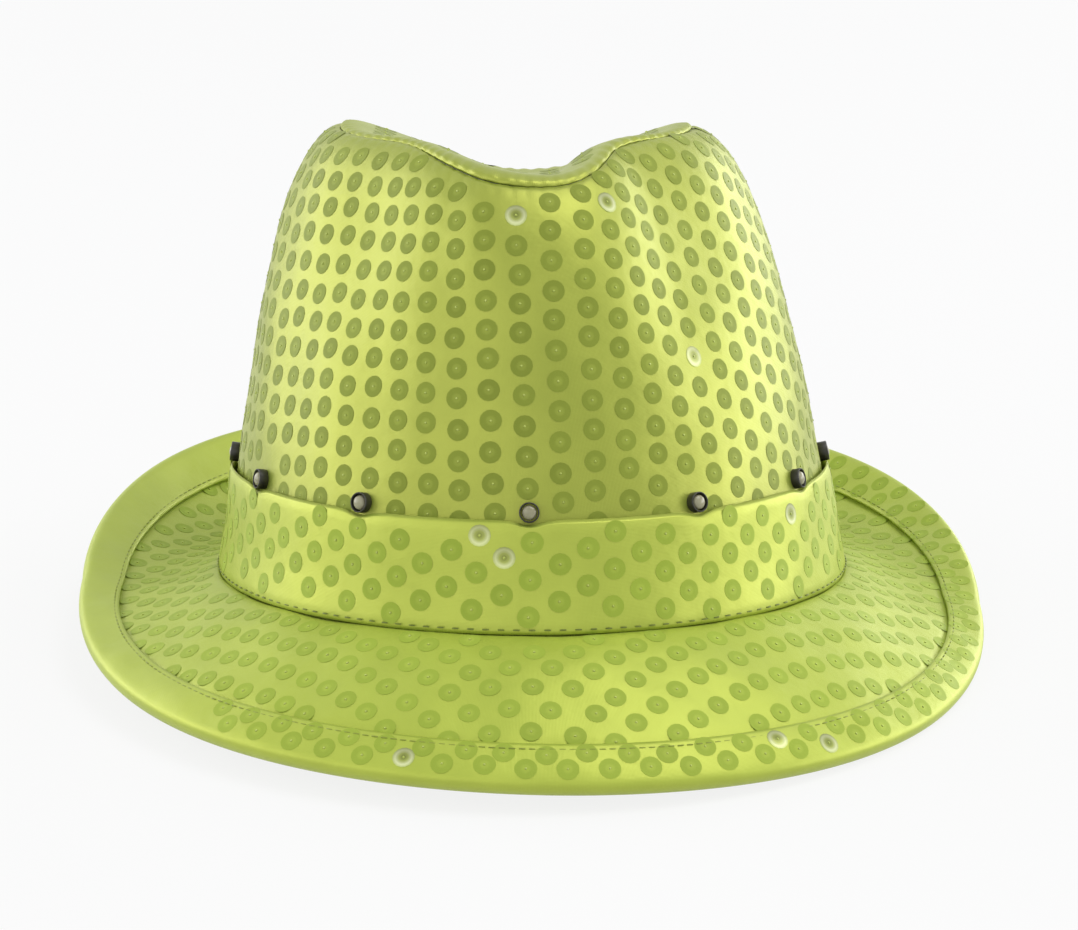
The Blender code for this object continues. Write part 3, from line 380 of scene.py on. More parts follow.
def smooth_step(low, high, value):
    """0 below low, 1 above high, with a smooth rise between."""
    share = np.clip((value - low) / (high - low), 0.0, 1.0)
    return share * share * (3 - 2 * share)


def bell(distance, reach):
    """1 at no distance, falling away past the reach."""
    return np.exp(-(distance / reach) ** 2)


def bezier(t, first, second, third, last):
    """A cubic curve's value from its four control values."""
    u = 1 - t
    return u ** 3 * first + 3 * u * u * t * second + 3 * u * t * t * third + t ** 3 * last


def around(theta, values):
    """A brim value that swings from front to side to back, with broad ends."""
    front, side, back = values
    facing = np.sin(math.pi / 2 * np.cos(theta))
    return side + (np.where(facing > 0, front, back) - side) * np.abs(facing)


def from_front(theta):
    """The angle from the front, without its side."""
    return np.abs((theta + math.pi) % (2 * math.pi) - math.pi)


def crown_inset(theta, t):
    """How far the crown wall leans in, with its pinches and soft sides."""
    left = np.sin(theta) < 0
    from_dent = from_front(theta) - PINCH_ANGLE
    leftward = np.where(left, smooth_step(0, PINCH_LEFT_RUN, from_front(theta)), 0.0)
    front_spread = PINCH_FRONT_SPREAD + (PINCH_LEFT_SPREAD - PINCH_FRONT_SPREAD) * leftward
    pinch = PINCH_DEPTH * bell(from_dent, np.where(from_dent < 0, front_spread, PINCH_BACK_SPREAD))
    swell = np.where(left, *CROWN_SWELL) * np.sin(theta) ** 2
    swell = swell * smooth_step(*SWELL_RISE, t) * (1 - smooth_step(*SWELL_FALL, t))
    inset = bezier(t, 0, CROWN_BEND_INSET, CROWN_SHOULDER_INSET, CROWN_RIDGE_INSET)
    return inset + pinch * smooth_step(*PINCH_RUN, t) - swell


def crown_lean(height):
    """How far the crown leans aside at a height."""
    return CROWN_LEAN * smooth_step(0, CROWN_SIDE_HEIGHT, height)


def crown_surface(theta, t):
    """Outer face of the crown form: t is 0 to 1 up the wall, and 1 to 2 from ridge to middle."""
    spread = np.where(np.sin(theta - NOTCH_TURN) < 0, NOTCH_LEFT_ANGLE, FRONT_NOTCH_ANGLE)
    notch = FRONT_NOTCH_DEPTH * bell(from_front(theta - NOTCH_TURN), spread)
    notch = notch + CROWN_SAG * np.sin(theta) ** 2
    backward = np.maximum(-np.cos(theta + BACK_TURN), 0.0) ** BACK_POWER
    ridge = CROWN_SIDE_HEIGHT - (CROWN_SIDE_HEIGHT - CROWN_BACK_HEIGHT - BACK_RISE) * backward - notch
    wall_t = np.minimum(t, 1.0)
    inset = crown_inset(theta, wall_t)
    share = np.minimum(2 - t, 1.0)
    wall = bezier(wall_t, 0, CROWN_BEND_HEIGHT, ridge, ridge)
    tip = CROWN_DENT_HEIGHT + (ridge - CROWN_DENT_HEIGHT) * smooth_step(0, 1, share) ** TIP_POWER
    height = np.where(t <= 1, wall, tip)
    x = (BASE_X - inset) * np.sin(theta) * share + crown_lean(height)
    y = -(BASE_Y - inset) * np.cos(theta) * share
    return np.stack([x, y, height], axis=-1)


def brim_surface(theta, s):
    """Top of the brim core: s is 0 at the flat ring and 1 at the edge."""
    outset = RING_OUTSET + around(theta, BRIM_REACH) * s
    run = np.maximum(s, 0.0)
    curl = around(theta, BRIM_CURL) * run ** BRIM_CURL_POWER
    drop = around(theta, BRIM_DROP) * run ** BRIM_DROP_POWER
    ease = BRIM_EASE * np.where(np.cos(theta) > 0, np.sin(2 * theta) ** 2, 0.0)
    soft = (BRIM_SWING * np.sin(theta) + BRIM_LIFT * (1 + np.cos(theta)) / 2 + ease) * run ** 2
    x = (BASE_X + outset) * np.sin(theta)
    y = -(BASE_Y + outset) * np.cos(theta)
    return np.stack([x, y, curl - drop + soft], axis=-1)


def unit(vectors):
    """The vectors at length 1."""
    return vectors / np.linalg.norm(vectors, axis=-1, keepdims=True)


def slopes(surface, theta, along):
    """A surface's run to a radian round the hat, and to a share along it."""
    turn = surface(theta + SLOPE_STEP, along) - surface(theta - SLOPE_STEP, along)
    run = surface(theta, along + SLOPE_STEP) - surface(theta, along - SLOPE_STEP)
    return turn / (2 * SLOPE_STEP), run / (2 * SLOPE_STEP)


def place_on(surface, theta, along, offset):
    """Points on a layer, and their frames: across, along and out."""
    theta, along, offset = np.broadcast_arrays(theta, along, offset)
    turn, run = slopes(surface, theta, along)
    out = unit(np.cross(turn, run)) * (1 if surface is crown_surface else -1)
    across = unit(turn)
    frames = np.stack([across, np.cross(out, across), out], axis=-2)
    return surface(theta, along) + offset[..., None] * out, frames


def layer(surface, theta, along, offset):
    """Points on a layer of a surface."""
    return place_on(surface, theta, along, offset)[0]


def on_crown(theta, t, offset):
    """Points on a layer of the crown."""
    return layer(crown_surface, theta, t, offset)


def on_brim(theta, s, offset):
    """Points on a layer of the brim."""
    return layer(brim_surface, theta, s, offset)


def spread_over(surface, theta, along, x, y):
    """Angles and shares at steps of x across and y along from places on a surface."""
    turn, run = slopes(surface, theta, along)
    frames = place_on(surface, theta, along, 0.0)[1]
    rise = y / (run * frames[:, 1]).sum(axis=1, keepdims=True)
    slide = x - rise * (run * frames[:, 0]).sum(axis=1, keepdims=True)
    return theta[:, None] + slide / np.linalg.norm(turn, axis=1, keepdims=True), along[:, None] + rise


def search(low, high, is_short):
    """The values up to which is_short holds."""
    for _ in range(SEARCH_STEPS):
        middle = (low + high) / 2
        short = is_short(middle)
        low = np.where(short, middle, low)
        high = np.where(short, high, middle)
    return low


def wall_share(theta, height, offset):
    """The t at which a layer of the wall reaches a height."""
    theta, height, offset = np.broadcast_arrays(theta, height, offset)
    return search(np.full(theta.shape, WALL_LOWEST), np.ones(theta.shape),
                  lambda t: on_crown(theta, t, offset)[..., 2] < height)


def turns(count):
    """Equal angles round the hat, from the front."""
    return np.arange(count) * 2 * math.pi / count


def grid(count, rows):
    """The angles and the row values of a grid."""
    return turns(count)[None, :], np.asarray(rows)[:, None]


def steps(most):
    """Whole numbers from minus the most to the most."""
    return np.arange(-most, most + 1)


def run_lengths(points):
    """Distances along a row of points."""
    return np.append(0.0, np.cumsum(np.linalg.norm(np.diff(points, axis=0), axis=1)))


def closed_run(points):
    """Distances along a row of points and back to its first."""
    return run_lengths(np.vstack([points, points[:1]]))


def wall_ring(start, height, offset):
    """Angles once round the wall at a height, and the distances along them."""
    angles = np.linspace(start, start + 2 * math.pi, RING_POINTS)
    return angles, run_lengths(on_crown(angles, wall_share(angles, height, offset), offset))


def equal_turns(height, offset, count):
    """Angles at equal distances round the wall at a height."""
    angles, run = wall_ring(0, height, offset)
    return np.interp(np.arange(count) / count * run[-1], run, angles)


def make_ripple(depth, length):
    """A function that gives soft uneven waves over points."""
    waves = unit(rng.normal(size=(RIPPLE_WAVES, 3))) * 2 * math.pi / length
    waves *= rng.uniform(*RIPPLE_VARIETY, size=(RIPPLE_WAVES, 1))
    phases = rng.uniform(0, 2 * math.pi, RIPPLE_WAVES)
    return lambda points: depth * np.sin(points @ waves.T + phases).sum(axis=-1) / math.sqrt(RIPPLE_WAVES)


def cloth_level(surface, face, ripple, side=1):
    """A function that gives the offset of a rippled cloth's shown face."""
    return lambda theta, along: face + side * ripple(surface(theta, along))


def gather(points, edge):
    """Small folds across a seam, by the distance to its edge."""
    run = closed_run(points[0])[:-1]
    wander = GATHER_WANDER * np.sin(run / WANDER_RUN)
    folds = np.sin(2 * math.pi * run / GATHER_LENGTH + wander)
    return GATHER_DEPTH * folds * bell(edge, GATHER_REACH)


def pucker(points, centres):
    """How far the nearest sequin's thread pulls cloth in at each point."""
    nearest = [((row[:, None, :] - centres) ** 2).sum(axis=-1).min(axis=1) for row in points]
    return PUCKER_DEPTH * np.exp(-np.array(nearest) / PUCKER_REACH ** 2)


def camera_axes():
    """The photo camera's place and its right, up and ahead axes."""
    place = HAT @ Vector((0, -CAMERA_DISTANCE * math.cos(CAMERA_ELEVATION),
                          CAMERA_DISTANCE * math.sin(CAMERA_ELEVATION)))
    straight = (HAT.translation - place).normalized()
    right = straight.cross(Vector((0, 0, 1))).normalized()
    target = HAT.translation + right * (PHOTO_WIDTH / 2 - HAT_PIXEL[0]) / PHOTO_SCALE
    target += right.cross(straight) * (HAT_PIXEL[1] - PHOTO_HEIGHT / 2) / PHOTO_SCALE
    ahead = (target - place).normalized()
    right = ahead.cross(Vector((0, 0, 1))).normalized()
    return place, right, right.cross(ahead), ahead


def to_world(points):
    """Points of the hat's frame in the shared frame."""
    return points @ HAT_TURN.T + HAT_PLACE


def photo_pixels(points):
    """Where points fall in the photo."""
    place, right, up, ahead = (np.array(part) for part in camera_axes())
    rays = to_world(points) - place
    zoom = PHOTO_SCALE * CAMERA_DISTANCE / (rays @ ahead)
    return np.stack([PHOTO_WIDTH / 2 + zoom * (rays @ right), PHOTO_HEIGHT / 2 - zoom * (rays @ up)], axis=-1)


def make_piece(name, points, faces, material, slot="sequin_cloth", node=None, uv=None, smooth=True):
    """A mesh from points in the hat's frame, riding on the hat, in place of a CAD node."""
    mesh = bpy.data.meshes.new(name)
    mesh.from_pydata(to_world(points.reshape(-1, 3)).tolist(), [], list(map(list, faces)))
    if uv is not None:
        layer_uv = mesh.uv_layers.new(name="cloth")
        layer_uv.data.foreach_set("uv", np.ascontiguousarray(uv, dtype=np.float32).ravel())
    if smooth:
        mesh.shade_smooth()
    mesh.materials.append(material)
    piece = bpy.data.objects.new(name, mesh)
    bpy.context.scene.collection.objects.link(piece)
    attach(piece, "hat")
    if node:
        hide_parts(node)
    return piece


def shell(name, node, outer, inner, material, slot="sequin_cloth", flip=False):
    """A closed cloth layer from rows of points over both its faces."""
    rows = np.concatenate([outer, inner[::-1]])
    count, columns = rows.shape[:2]
    index = np.arange(count * columns).reshape(count, columns)
    after = np.roll(index, -1, axis=1)
    corners = [index, after, np.roll(after, -1, axis=0), np.roll(index, -1, axis=0)]
    faces = np.stack(corners, axis=-1).reshape(-1, 4)
    flat = np.stack(np.meshgrid(closed_run(outer[len(outer) // 2]), closed_run(rows[:, 0])), axis=-1)
    corners = [flat[:-1, :-1], flat[:-1, 1:], flat[1:, 1:], flat[1:, :-1]]
    uv = np.stack(corners, axis=2).reshape(-1, 4, 2)
    if flip:
        faces = faces[:, ::-1]
        uv = uv[:, ::-1]
    return make_piece(name, rows, faces, material, slot, node, uv)


def turned(profile, sides, closed):
    """A profile of (radius, height) turned round Z, as a ring or capped."""
    turn = turns(sides)
    rings = [np.stack([r * np.cos(turn), r * np.sin(turn), np.full(sides, z)], axis=-1) for r, z in profile]
    count = len(profile)
    faces = []
    for row in range(count if closed else count - 1):
        low = row * sides
        high = (row + 1) % count * sides
        for side in range(sides):
            after = (side + 1) % sides
            faces.append((low + side, low + after, high + after, high + side))
    if not closed:
        faces.append(tuple(range(sides))[::-1])
        faces.append(tuple(range((count - 1) * sides, count * sides)))
    return np.concatenate(rings), faces


def block(low, high):
    """A box from its low and high corners."""
    points = np.array(list(itertools.product(*zip(low, high))))
    faces = [(0, 1, 3, 2), (4, 6, 7, 5), (0, 4, 5, 1), (2, 3, 7, 6), (0, 2, 6, 4), (1, 5, 7, 3)]
    return points, faces


def copies(template, centres, frames):
    """A template repeated in each frame."""
    points, faces = template
    placed = centres[:, None, :] + np.einsum("kj,njd->nkd", points, frames)
    starts = len(points) * np.arange(len(centres))
    return placed.reshape(-1, 3), [[start + corner for corner in face] for start in starts for face in faces]


def sequin_template():
    """Points and faces of a thin cupped disc with a hole."""
    profile = [(SEQUIN_HOLE, -SEQUIN_THICK), (SEQUIN_RADIUS, SEQUIN_CUP - SEQUIN_THICK),
               (SEQUIN_RADIUS, SEQUIN_CUP), SEQUIN_BEND, (SEQUIN_HOLE, 0.0)]
    return turned(profile, SEQUIN_SIDES, True)


def lone_spots(centres, outs, spots):
    """Which centres in the camera's sight show nearest to the given pixels."""
    chosen = np.zeros(len(centres), dtype=bool)
    facing = outs @ (0, -math.cos(CAMERA_ELEVATION), math.sin(CAMERA_ELEVATION))
    pixels = photo_pixels(centres) + np.where(facing < PAINTED_GLINT_FACING, PHOTO_WIDTH, 0)[:, None]
    for spot in spots:
        chosen[np.linalg.norm(pixels - spot, axis=1).argmin()] = True
    return chosen


def sew_on(name, surface, theta, along, level, film, side=1, spots=(), spread=spread_over):
    """Sequins and their threads on a layer, with a painted glint on the ones nearest given pixels."""
    points, faces = sequin_template()
    x, y, height = points.T
    shares = np.hypot(x, y) / SEQUIN_RADIUS
    lean = rng.normal(0, SEQUIN_TILT, size=(2, len(theta), 1))
    height = SEQUIN_LIFT + height + lean[0] * x + lean[1] * y
    edge_theta, edge_along = spread(surface, theta, along, x, side * y)
    placed = layer(surface, edge_theta, edge_along, level(edge_theta, edge_along) + side * height)
    centre_level = level(theta[:, None], along[:, None])[:, 0] + side * SEQUIN_LIFT
    centres, frames = place_on(surface, theta, along, centre_level)
    frames = frames * np.array((1, side, side))[:, None]
    knots(name + "_knots", centres, frames)
    pale = lone_spots(centres, frames[:, 2], spots)
    tones = np.broadcast_to(rng.uniform(size=(len(theta), 1)), placed.shape[:2]).copy()
    # Sequins painted with a glint take a share across the disc in place of a random tone, so their film is
    # painted brighter towards one edge
    tones[pale] = (1 + y / SEQUIN_RADIUS) / 2
    for label, chosen, material in (("_sequins", ~pale, film), ("_painted_glint_sequins", pale, PAINTED_GLINT_SEQUIN)):
        if chosen.any():
            sequins(name + label, placed[chosen], faces, shares, tones[chosen], material)


def sequins(name, placed, faces, shares, tones, material):
    """Many sequins as one piece, whose UV holds radius shares and tones, or shares across the disc where a
    glint is painted.
    """
    count, corners = placed.shape[:2]
    faces = np.array(faces)
    every = (faces + corners * np.arange(count)[:, None, None]).reshape(-1, 4)
    uv = np.empty((count, *faces.shape, 2))
    uv[..., 0] = shares[faces]
    uv[..., 1] = tones[:, faces]
    make_piece(name, placed, every, material, uv=uv, smooth=False)


def knots(name, centres, frames):
    """The thread that shows in each sequin's hole."""
    profile = [(share * SEQUIN_HOLE, height) for share, height in KNOT_PROFILE]
    make_piece(name, *copies(turned(profile, THREAD_SIDES, False), centres, frames), THREAD)


def stitch_line(name, surface, theta, along, offset, half_turn, width, material, side=1, slot="sequin_cloth"):
    """Short raised threads along a seam."""
    starts = layer(surface, theta - half_turn, along, offset)
    ends = layer(surface, theta + half_turn, along, offset)
    outs = side * place_on(surface, theta, along, offset)[1][:, 2]
    ahead = unit(ends - starts)
    out = unit(outs - (outs * ahead).sum(axis=1, keepdims=True) * ahead)
    frames = np.stack([np.cross(ahead, out), out, ends - starts], axis=1)
    profile = [(share * width / 2, place) for share, place in STITCH_PROFILE]
    placed, every = copies(turned(profile, THREAD_SIDES, False), (starts + ends) / 2, frames)
    make_piece(name, placed, every, material, slot)


def new_material(name):
    """A material and its tree."""
    material = bpy.data.materials.new(name)
    material.use_nodes = True
    return material, material.node_tree


def finished(material, colour, roughness, normal=None, more=None):
    """The material, with inputs of its main shader set or linked."""
    values = {"Base Color": colour, "Roughness": roughness, **(more or {})}
    if normal is not None:
        values["Normal"] = normal
    shader = material.node_tree.nodes["Principled BSDF"]
    for key, value in values.items():
        feed(material.node_tree, shader.inputs[key], value)
    return material


def feed(tree, socket, value):
    """Link a socket to another, or set its value."""
    if isinstance(value, bpy.types.NodeSocket):
        tree.links.new(value, socket)
    else:
        socket.default_value = value


def add_node(tree, kind, inputs=None, **settings):
    """A node with its settings and its inputs."""
    node = tree.nodes.new("ShaderNode" + kind)
    for key, value in settings.items():
        setattr(node, key, value)
    for key, value in (inputs or {}).items():
        feed(tree, node.inputs[key], value)
    return node


def in_space(tree):
    """Places in space."""
    return add_node(tree, "TexCoord").outputs["Object"]


def on_cloth(tree):
    """A piece's UV: places on cloth, or a sequin's radius shares and tones, or shares across a disc painted
    with a glint.
    """
    return add_node(tree, "UVMap", uv_map="cloth").outputs["UV"]


def ramp(tree, factor, stops):
    """A colour ramp through (place, colour) stops."""
    node = add_node(tree, "ValToRGB", {"Fac": factor})
    while len(node.color_ramp.elements) < len(stops):
        node.color_ramp.elements.new(0.5)
    for element, (place, colour) in zip(node.color_ramp.elements, stops):
        element.position = place
        element.color = (*colour, 1)
    return node.outputs["Color"]


def two_tones(tree, factor, dark, light, reach=0.2):
    """A colour that turns from dark to light near a factor's middle."""
    return ramp(tree, factor, [(0.5 - reach, dark), (0.5 + reach, light)])


def stretched(tree, value, low, high):
    """A value of 0 to 1 stretched from low to high."""
    return add_node(tree, "MapRange", {"Value": value, "To Min": low, "To Max": high}).outputs["Result"]


def noise(tree, scale, detail=2.0):
    """A noise texture's value in space."""
    inputs = {"Vector": in_space(tree), "Scale": scale, "Detail": detail}
    return add_node(tree, "TexNoise", inputs).outputs["Fac"]


def bands(tree, coords, direction, period, wobble=0.0):
    """A wave texture's value, with bands a period apart."""
    inputs = {"Vector": coords, "Scale": WAVE_RUN / period, "Distortion": wobble}
    return add_node(tree, "TexWave", inputs, bands_direction=direction).outputs["Fac"]


def bump(tree, height, distance, below=None):
    """A bump from a height, on top of another bump if there is one."""
    inputs = {"Height": height, "Distance": distance, "Strength": 1.0}
    if below is not None:
        inputs["Normal"] = below
    return add_node(tree, "Bump", inputs).outputs["Normal"]


def woven(name, dark, light, roughness, thread, sheen, crinkle, shine=None):
    """Cloth: two tones in soft patches, crossing threads and small crinkles."""
    material, tree = new_material(name)
    colour = two_tones(tree, noise(tree, CLOTH_PATCHES, detail=3), dark, light, CLOTH_TONES)
    weave = None
    for direction in "XY":
        weave = bump(tree, bands(tree, on_cloth(tree), direction, thread), thread * WEAVE_RELIEF, weave)
    soft = bump(tree, noise(tree, CLOTH_CRINKLES), crinkle, weave)
    sheens = {"Sheen Weight": sheen, "Sheen Roughness": SHEEN_ROUGHNESS}
    return finished(material, colour, roughness, soft, {**sheens, **(shine or {})})


def satin(name, dark, light, roughness, index):
    """Woven satin with a strong yellow-green shine."""
    return woven(name, dark, light, roughness, SATIN_THREAD, 0.0, SATIN_CRINKLE,
                 {"IOR": index, "Specular IOR Level": 1.0, "Specular Tint": GOLD_TINT})


def make_sequin(name, places, colours, tones, roughness=0.45, gloss=0.15):
    """Sequin film: colours from its hole to its rim, and each disc's tone; on glint discs the tone is a
    painted highlight across the disc.
    """
    material, tree = new_material(name)
    parts = add_node(tree, "SeparateXYZ", {"Vector": on_cloth(tree)})
    ring = ramp(tree, parts.outputs["X"], list(zip(places, colours)))
    tone = stretched(tree, parts.outputs["Y"], *tones)
    shade = add_node(tree, "VectorMath", {0: ring, 1: tone}, operation="MULTIPLY")
    scuffs = bump(tree, noise(tree, FILM_SCUFFS, detail=3), FINE_RELIEF)
    return finished(material, shade.outputs["Vector"], roughness, scuffs,
                    {"Specular IOR Level": gloss, "Specular Tint": FILM_TINT})


def moulded(name, colour, roughness, grain, depth):
    """Plastic or rubber: a fine grain, uneven gloss and softened edges."""
    material, tree = new_material(name)
    patches = noise(tree, PLASTIC_PATCHES, detail=4)
    light = tuple(c * PLASTIC_LIGHT[0] + PLASTIC_LIGHT[1] for c in colour)
    rounded = add_node(tree, "Bevel", {"Radius": PLASTIC_ROUNDING}).outputs["Normal"]
    gloss = stretched(tree, patches, roughness - PLASTIC_GLOSS, roughness + PLASTIC_GLOSS)
    grained = bump(tree, noise(tree, grain), depth, rounded)
    return finished(material, two_tones(tree, patches, colour, light), gloss, grained)


def make_thread(name, dark, light):
    """Sewing thread with a fine twist."""
    material, tree = new_material(name)
    colour = two_tones(tree, noise(tree, THREAD_PATCHES), dark, light)
    twist = bump(tree, noise(tree, THREAD_TWIST, detail=1), TWIST_DEPTH)
    return finished(material, colour, THREAD_ROUGHNESS, twist)


def make_lens():
    """Clear unlit lens, a little smoky."""
    material, tree = new_material("lamp_lens")
    tint = two_tones(tree, noise(tree, LENS_PATCHES), (0.34, 0.32, 0.19), (0.43, 0.41, 0.26))
    return finished(material, tint, LENS_ROUGHNESS, more={"IOR": 1.5, "Transmission Weight": 0.15})


def make_steel(name, colour, streak):
    """Plated steel with fine streaks."""
    material, tree = new_material(name)
    streaks = noise(tree, streak, detail=3)
    tone = two_tones(tree, streaks, tuple(STEEL_SHADE * c for c in colour), colour)
    gloss = stretched(tree, streaks, *STEEL_GLOSS)
    return finished(material, tone, gloss, bump(tree, streaks, FINE_RELIEF), {"Metallic": 1.0})


def make_board():
    """Green laminate with darker tracks."""
    material, tree = new_material("board_laminate")
    tracks = bands(tree, in_space(tree), "X", TRACK_PITCH, TRACK_WANDER)
    colour = two_tones(tree, tracks, (0.02, 0.16, 0.05), (0.05, 0.26, 0.09), TRACK_TONES)
    return finished(material, colour, BOARD_ROUGHNESS, bump(tree, tracks, TRACK_RELIEF))


def seen_itself(tree):
    """1 for rays that show a surface and 0 for those that light others."""
    path = add_node(tree, "LightPath")
    seen = path.outputs["Is Camera Ray"]
    for ray in ("Is Glossy Ray", "Is Transmission Ray"):
        seen = add_node(tree, "Math", {0: seen, 1: path.outputs[ray]}, operation="MAXIMUM").outputs[0]
    return seen


def mix_out(tree, share, first, second, output):
    """Send a mix of two shaders to a tree's output."""
    mix = add_node(tree, "MixShader", {0: share, 1: first.outputs[0], 2: second.outputs[0]})
    tree.links.new(mix.outputs[0], tree.nodes[output].inputs["Surface"])


def make_floor():
    """A pale floor that looks white, with a soft shadow."""
    material, tree = new_material("floor")
    finished(material, FLOOR_COLOUR, FLOOR_ROUGHNESS)
    share = add_node(tree, "Math", {0: seen_itself(tree), 1: FLOOR_WHITENESS}, operation="MULTIPLY")
    white = add_node(tree, "Emission", {"Color": (1, 1, 1, 1), "Strength": 1.0})
    mix_out(tree, share.outputs[0], tree.nodes["Principled BSDF"], white, "Material Output")
    return material


# One satin ground in three copies: the band's and the brim's are painted lighter than the crown's, as painted
# light making up for light they do not get
SATIN = satin("satin_ground", (0.18, 0.235, 0.033), (0.23, 0.285, 0.043), 0.36, 1.9)
BIAS_SATIN_PAINTED_LIGHTER = satin("bias_satin_ground_painted_lighter", (0.258, 0.342, 0.045), (0.300, 0.389, 0.054), 0.40, 2.0)
BRIM_SATIN_PAINTED_LIGHTER = satin("brim_satin_ground_painted_lighter", (0.320, 0.413, 0.054), (0.368, 0.466, 0.064), 0.40, 1.8)
SEQUIN = make_sequin("sequin_film", FILM_STOPS, (
    (0.330, 0.392, 0.068), (0.300, 0.358, 0.060), (0.262, 0.317, 0.050), (0.257, 0.312, 0.049)), (0.94, 1.06))
# A copy of the sequin film painted lighter, as painted light on the band and the brim
SEQUIN_PAINTED_LIGHTER = make_sequin("sequin_film_painted_lighter", FILM_STOPS, (
    (0.425, 0.530, 0.082), (0.397, 0.502, 0.074), (0.362, 0.468, 0.065), (0.357, 0.463, 0.064)), (0.95, 1.05))
# Paler film with a painted highlight: a bright glint ring, painted brighter towards one edge of each disc
PAINTED_GLINT_SEQUIN = make_sequin("painted_glint_sequin_film", PAINTED_GLINT_STOPS, (
    (0.20, 0.24, 0.06), (0.33, 0.38, 0.10), (0.62, 0.66, 0.38), (0.46, 0.52, 0.20)), (1.35, 0.55), 0.15, 1.0)
THREAD = make_thread("sequin_thread", (0.46, 0.55, 0.10), (0.56, 0.64, 0.15))
# Thread of the band's bottom seam, coloured dark as painted shade in the seam's stitch holes
SEAM_THREAD_PAINTED_SHADE = make_thread("seam_thread_painted_shade", (0.12, 0.16, 0.018), (0.17, 0.21, 0.024))
HEM_THREAD = make_thread("hem_thread", (0.22, 0.27, 0.028), (0.28, 0.33, 0.034))
LINING_CLOTH = woven("lining_cloth", (0.012, 0.012, 0.013), (0.020, 0.020, 0.022), 0.55, 0.00030, 0.1, 0.0004)
TAPE = woven("sweatband_tape", (0.016, 0.016, 0.016), (0.026, 0.026, 0.026), 0.65, 0.00120, 0.2, 0.0003)
FELT = woven("stiffener_felt", (0.58, 0.58, 0.52), (0.70, 0.70, 0.64), 0.85, 0.00060, 0.3, 0.0005)
LENS = make_lens()
RUBBER = moulded("sleeve_rubber", (0.020, 0.019, 0.013), 0.42, 1500, 0.00003)
BOX_PLASTIC = moulded("box_plastic", (0.022, 0.022, 0.023), 0.45, 2200, 0.00004)
BUTTON_PLASTIC = moulded("button_plastic", (0.38, 0.38, 0.38), 0.38, 2200, 0.00002)
RED_WIRE = moulded("red_wire_plastic", (0.36, 0.025, 0.022), 0.40, 900, 0.00002)
BLACK_WIRE = moulded("black_wire_plastic", (0.018, 0.018, 0.018), 0.40, 900, 0.00002)
BOARD = make_board()
STEEL = make_steel("plated_steel", (0.66, 0.65, 0.63), 700)
BRIGHT_STEEL = make_steel("lamp_frame_steel", (0.72, 0.71, 0.68), 1500)


def near_any(points, others, reach):
    """Whether each point is within reach of any other."""
    return np.linalg.norm(points[:, None, :] - others, axis=-1).min(axis=1) < reach


LAMP_TURNS = equal_turns(LAMP_HEIGHT, COVER[0], LAMP_COUNT)
LAMP_SHARES = wall_share(LAMP_TURNS, LAMP_HEIGHT, COVER[0])
LAMP_CENTRES, LAMP_FRAMES = place_on(crown_surface, LAMP_TURNS, LAMP_SHARES, 0.0)


def tip_seam(theta):
    """The share up the wall of the tip's seam: at the ridge, lower in front."""
    return SEAM_SIDE - (SEAM_SIDE - SEAM_FRONT) * bell(from_front(theta), SEAM_SPREAD)


def crown_lattice():
    """Sequin places on the crown's side: even upright columns, met at the back."""
    angles = np.linspace(-math.pi, math.pi, LATTICE_TURNS)
    foot = wall_share(angles, BAND_HIGH, COVER[0])
    rows = foot + (tip_seam(angles) - foot) * np.linspace(0, 1, LATTICE_ROWS)[:, None]
    across = np.array([run_lengths(row) for row in on_crown(angles, rows, COVER[0])])
    across = across - across[:, LATTICE_TURNS // 2, None]
    most = int((across[:, -1].max() - 2 * SEQUIN_RADIUS) / CROWN_COLUMN)
    theta = []
    shares = []
    for column in steps(most):
        place = column * CROWN_COLUMN
        fits = np.abs(place) < across[:, -1] - SEQUIN_RADIUS
        turn = np.array([np.interp(place, row, angles) for row in across[fits]])
        share = np.array([np.interp(angle, angles, row) for angle, row in zip(turn, rows[fits])])
        run = run_lengths(on_crown(turn, share, COVER[0]))
        stagger = (column % 2) / 2 * (LEFT_STAGGER if column < 0 else 1.0)
        first = CROWN_PITCH * (rng.uniform(0, CROWN_SHIFT) + stagger)
        spots = np.arange(first, run[-1] - EDGE_ROOM, CROWN_PITCH)
        spots = spots + rng.normal(0, SEQUIN_JITTER, len(spots))
        theta.append(np.interp(spots, run, turn) + rng.normal(0, SEQUIN_JITTER / BASE_X, len(spots)))
        shares.append(np.interp(spots, run, share))
    return np.concatenate(theta), np.concatenate(shares)


def build_crown_side():
    """Side panel of the crown, with its sequins."""
    level = cloth_level(crown_surface, COVER[0], make_ripple(*SIDE_RIPPLE))
    theta, t = crown_lattice()
    centres = on_crown(theta, t, level(theta, t))
    clear = ~near_any(centres, LAMP_CENTRES, SLEEVE_RADIUS + SEQUIN_RADIUS)
    angles, rows = grid(FINE, 1 - (1 - np.linspace(WALL_FIRST, 1, SIDE_ROWS)) ** SIDE_ROW_POWER)
    rows = rows * tip_seam(angles)
    flat = on_crown(angles, rows, COVER[0])
    edge = np.linalg.norm(flat - flat[-1:], axis=-1)
    from_back = BASE_X * (math.pi - from_front(angles))
    grooves = SEAM_DEPTH * (bell(edge, SEAM_REACH) + bell(from_back, BACK_SEAM_REACH))
    dips = pucker(flat, centres[clear]) - np.minimum(gather(flat[::-1], edge), 0)
    outer = on_crown(angles, rows, level(angles, rows) - dips - grooves)
    back_rows = np.linspace(WALL_FIRST, 1, BACK_ROWS)[:, None] * tip_seam(angles)
    inner = on_crown(angles, back_rows, COVER[1])
    cover = shell("crown_side_cloth", "crown_side_cover", outer, inner, SATIN)
    sew_on("crown_side", crown_surface, theta[clear], t[clear], level, SEQUIN, spots=CROWN_PAINTED_GLINT_SPOTS)


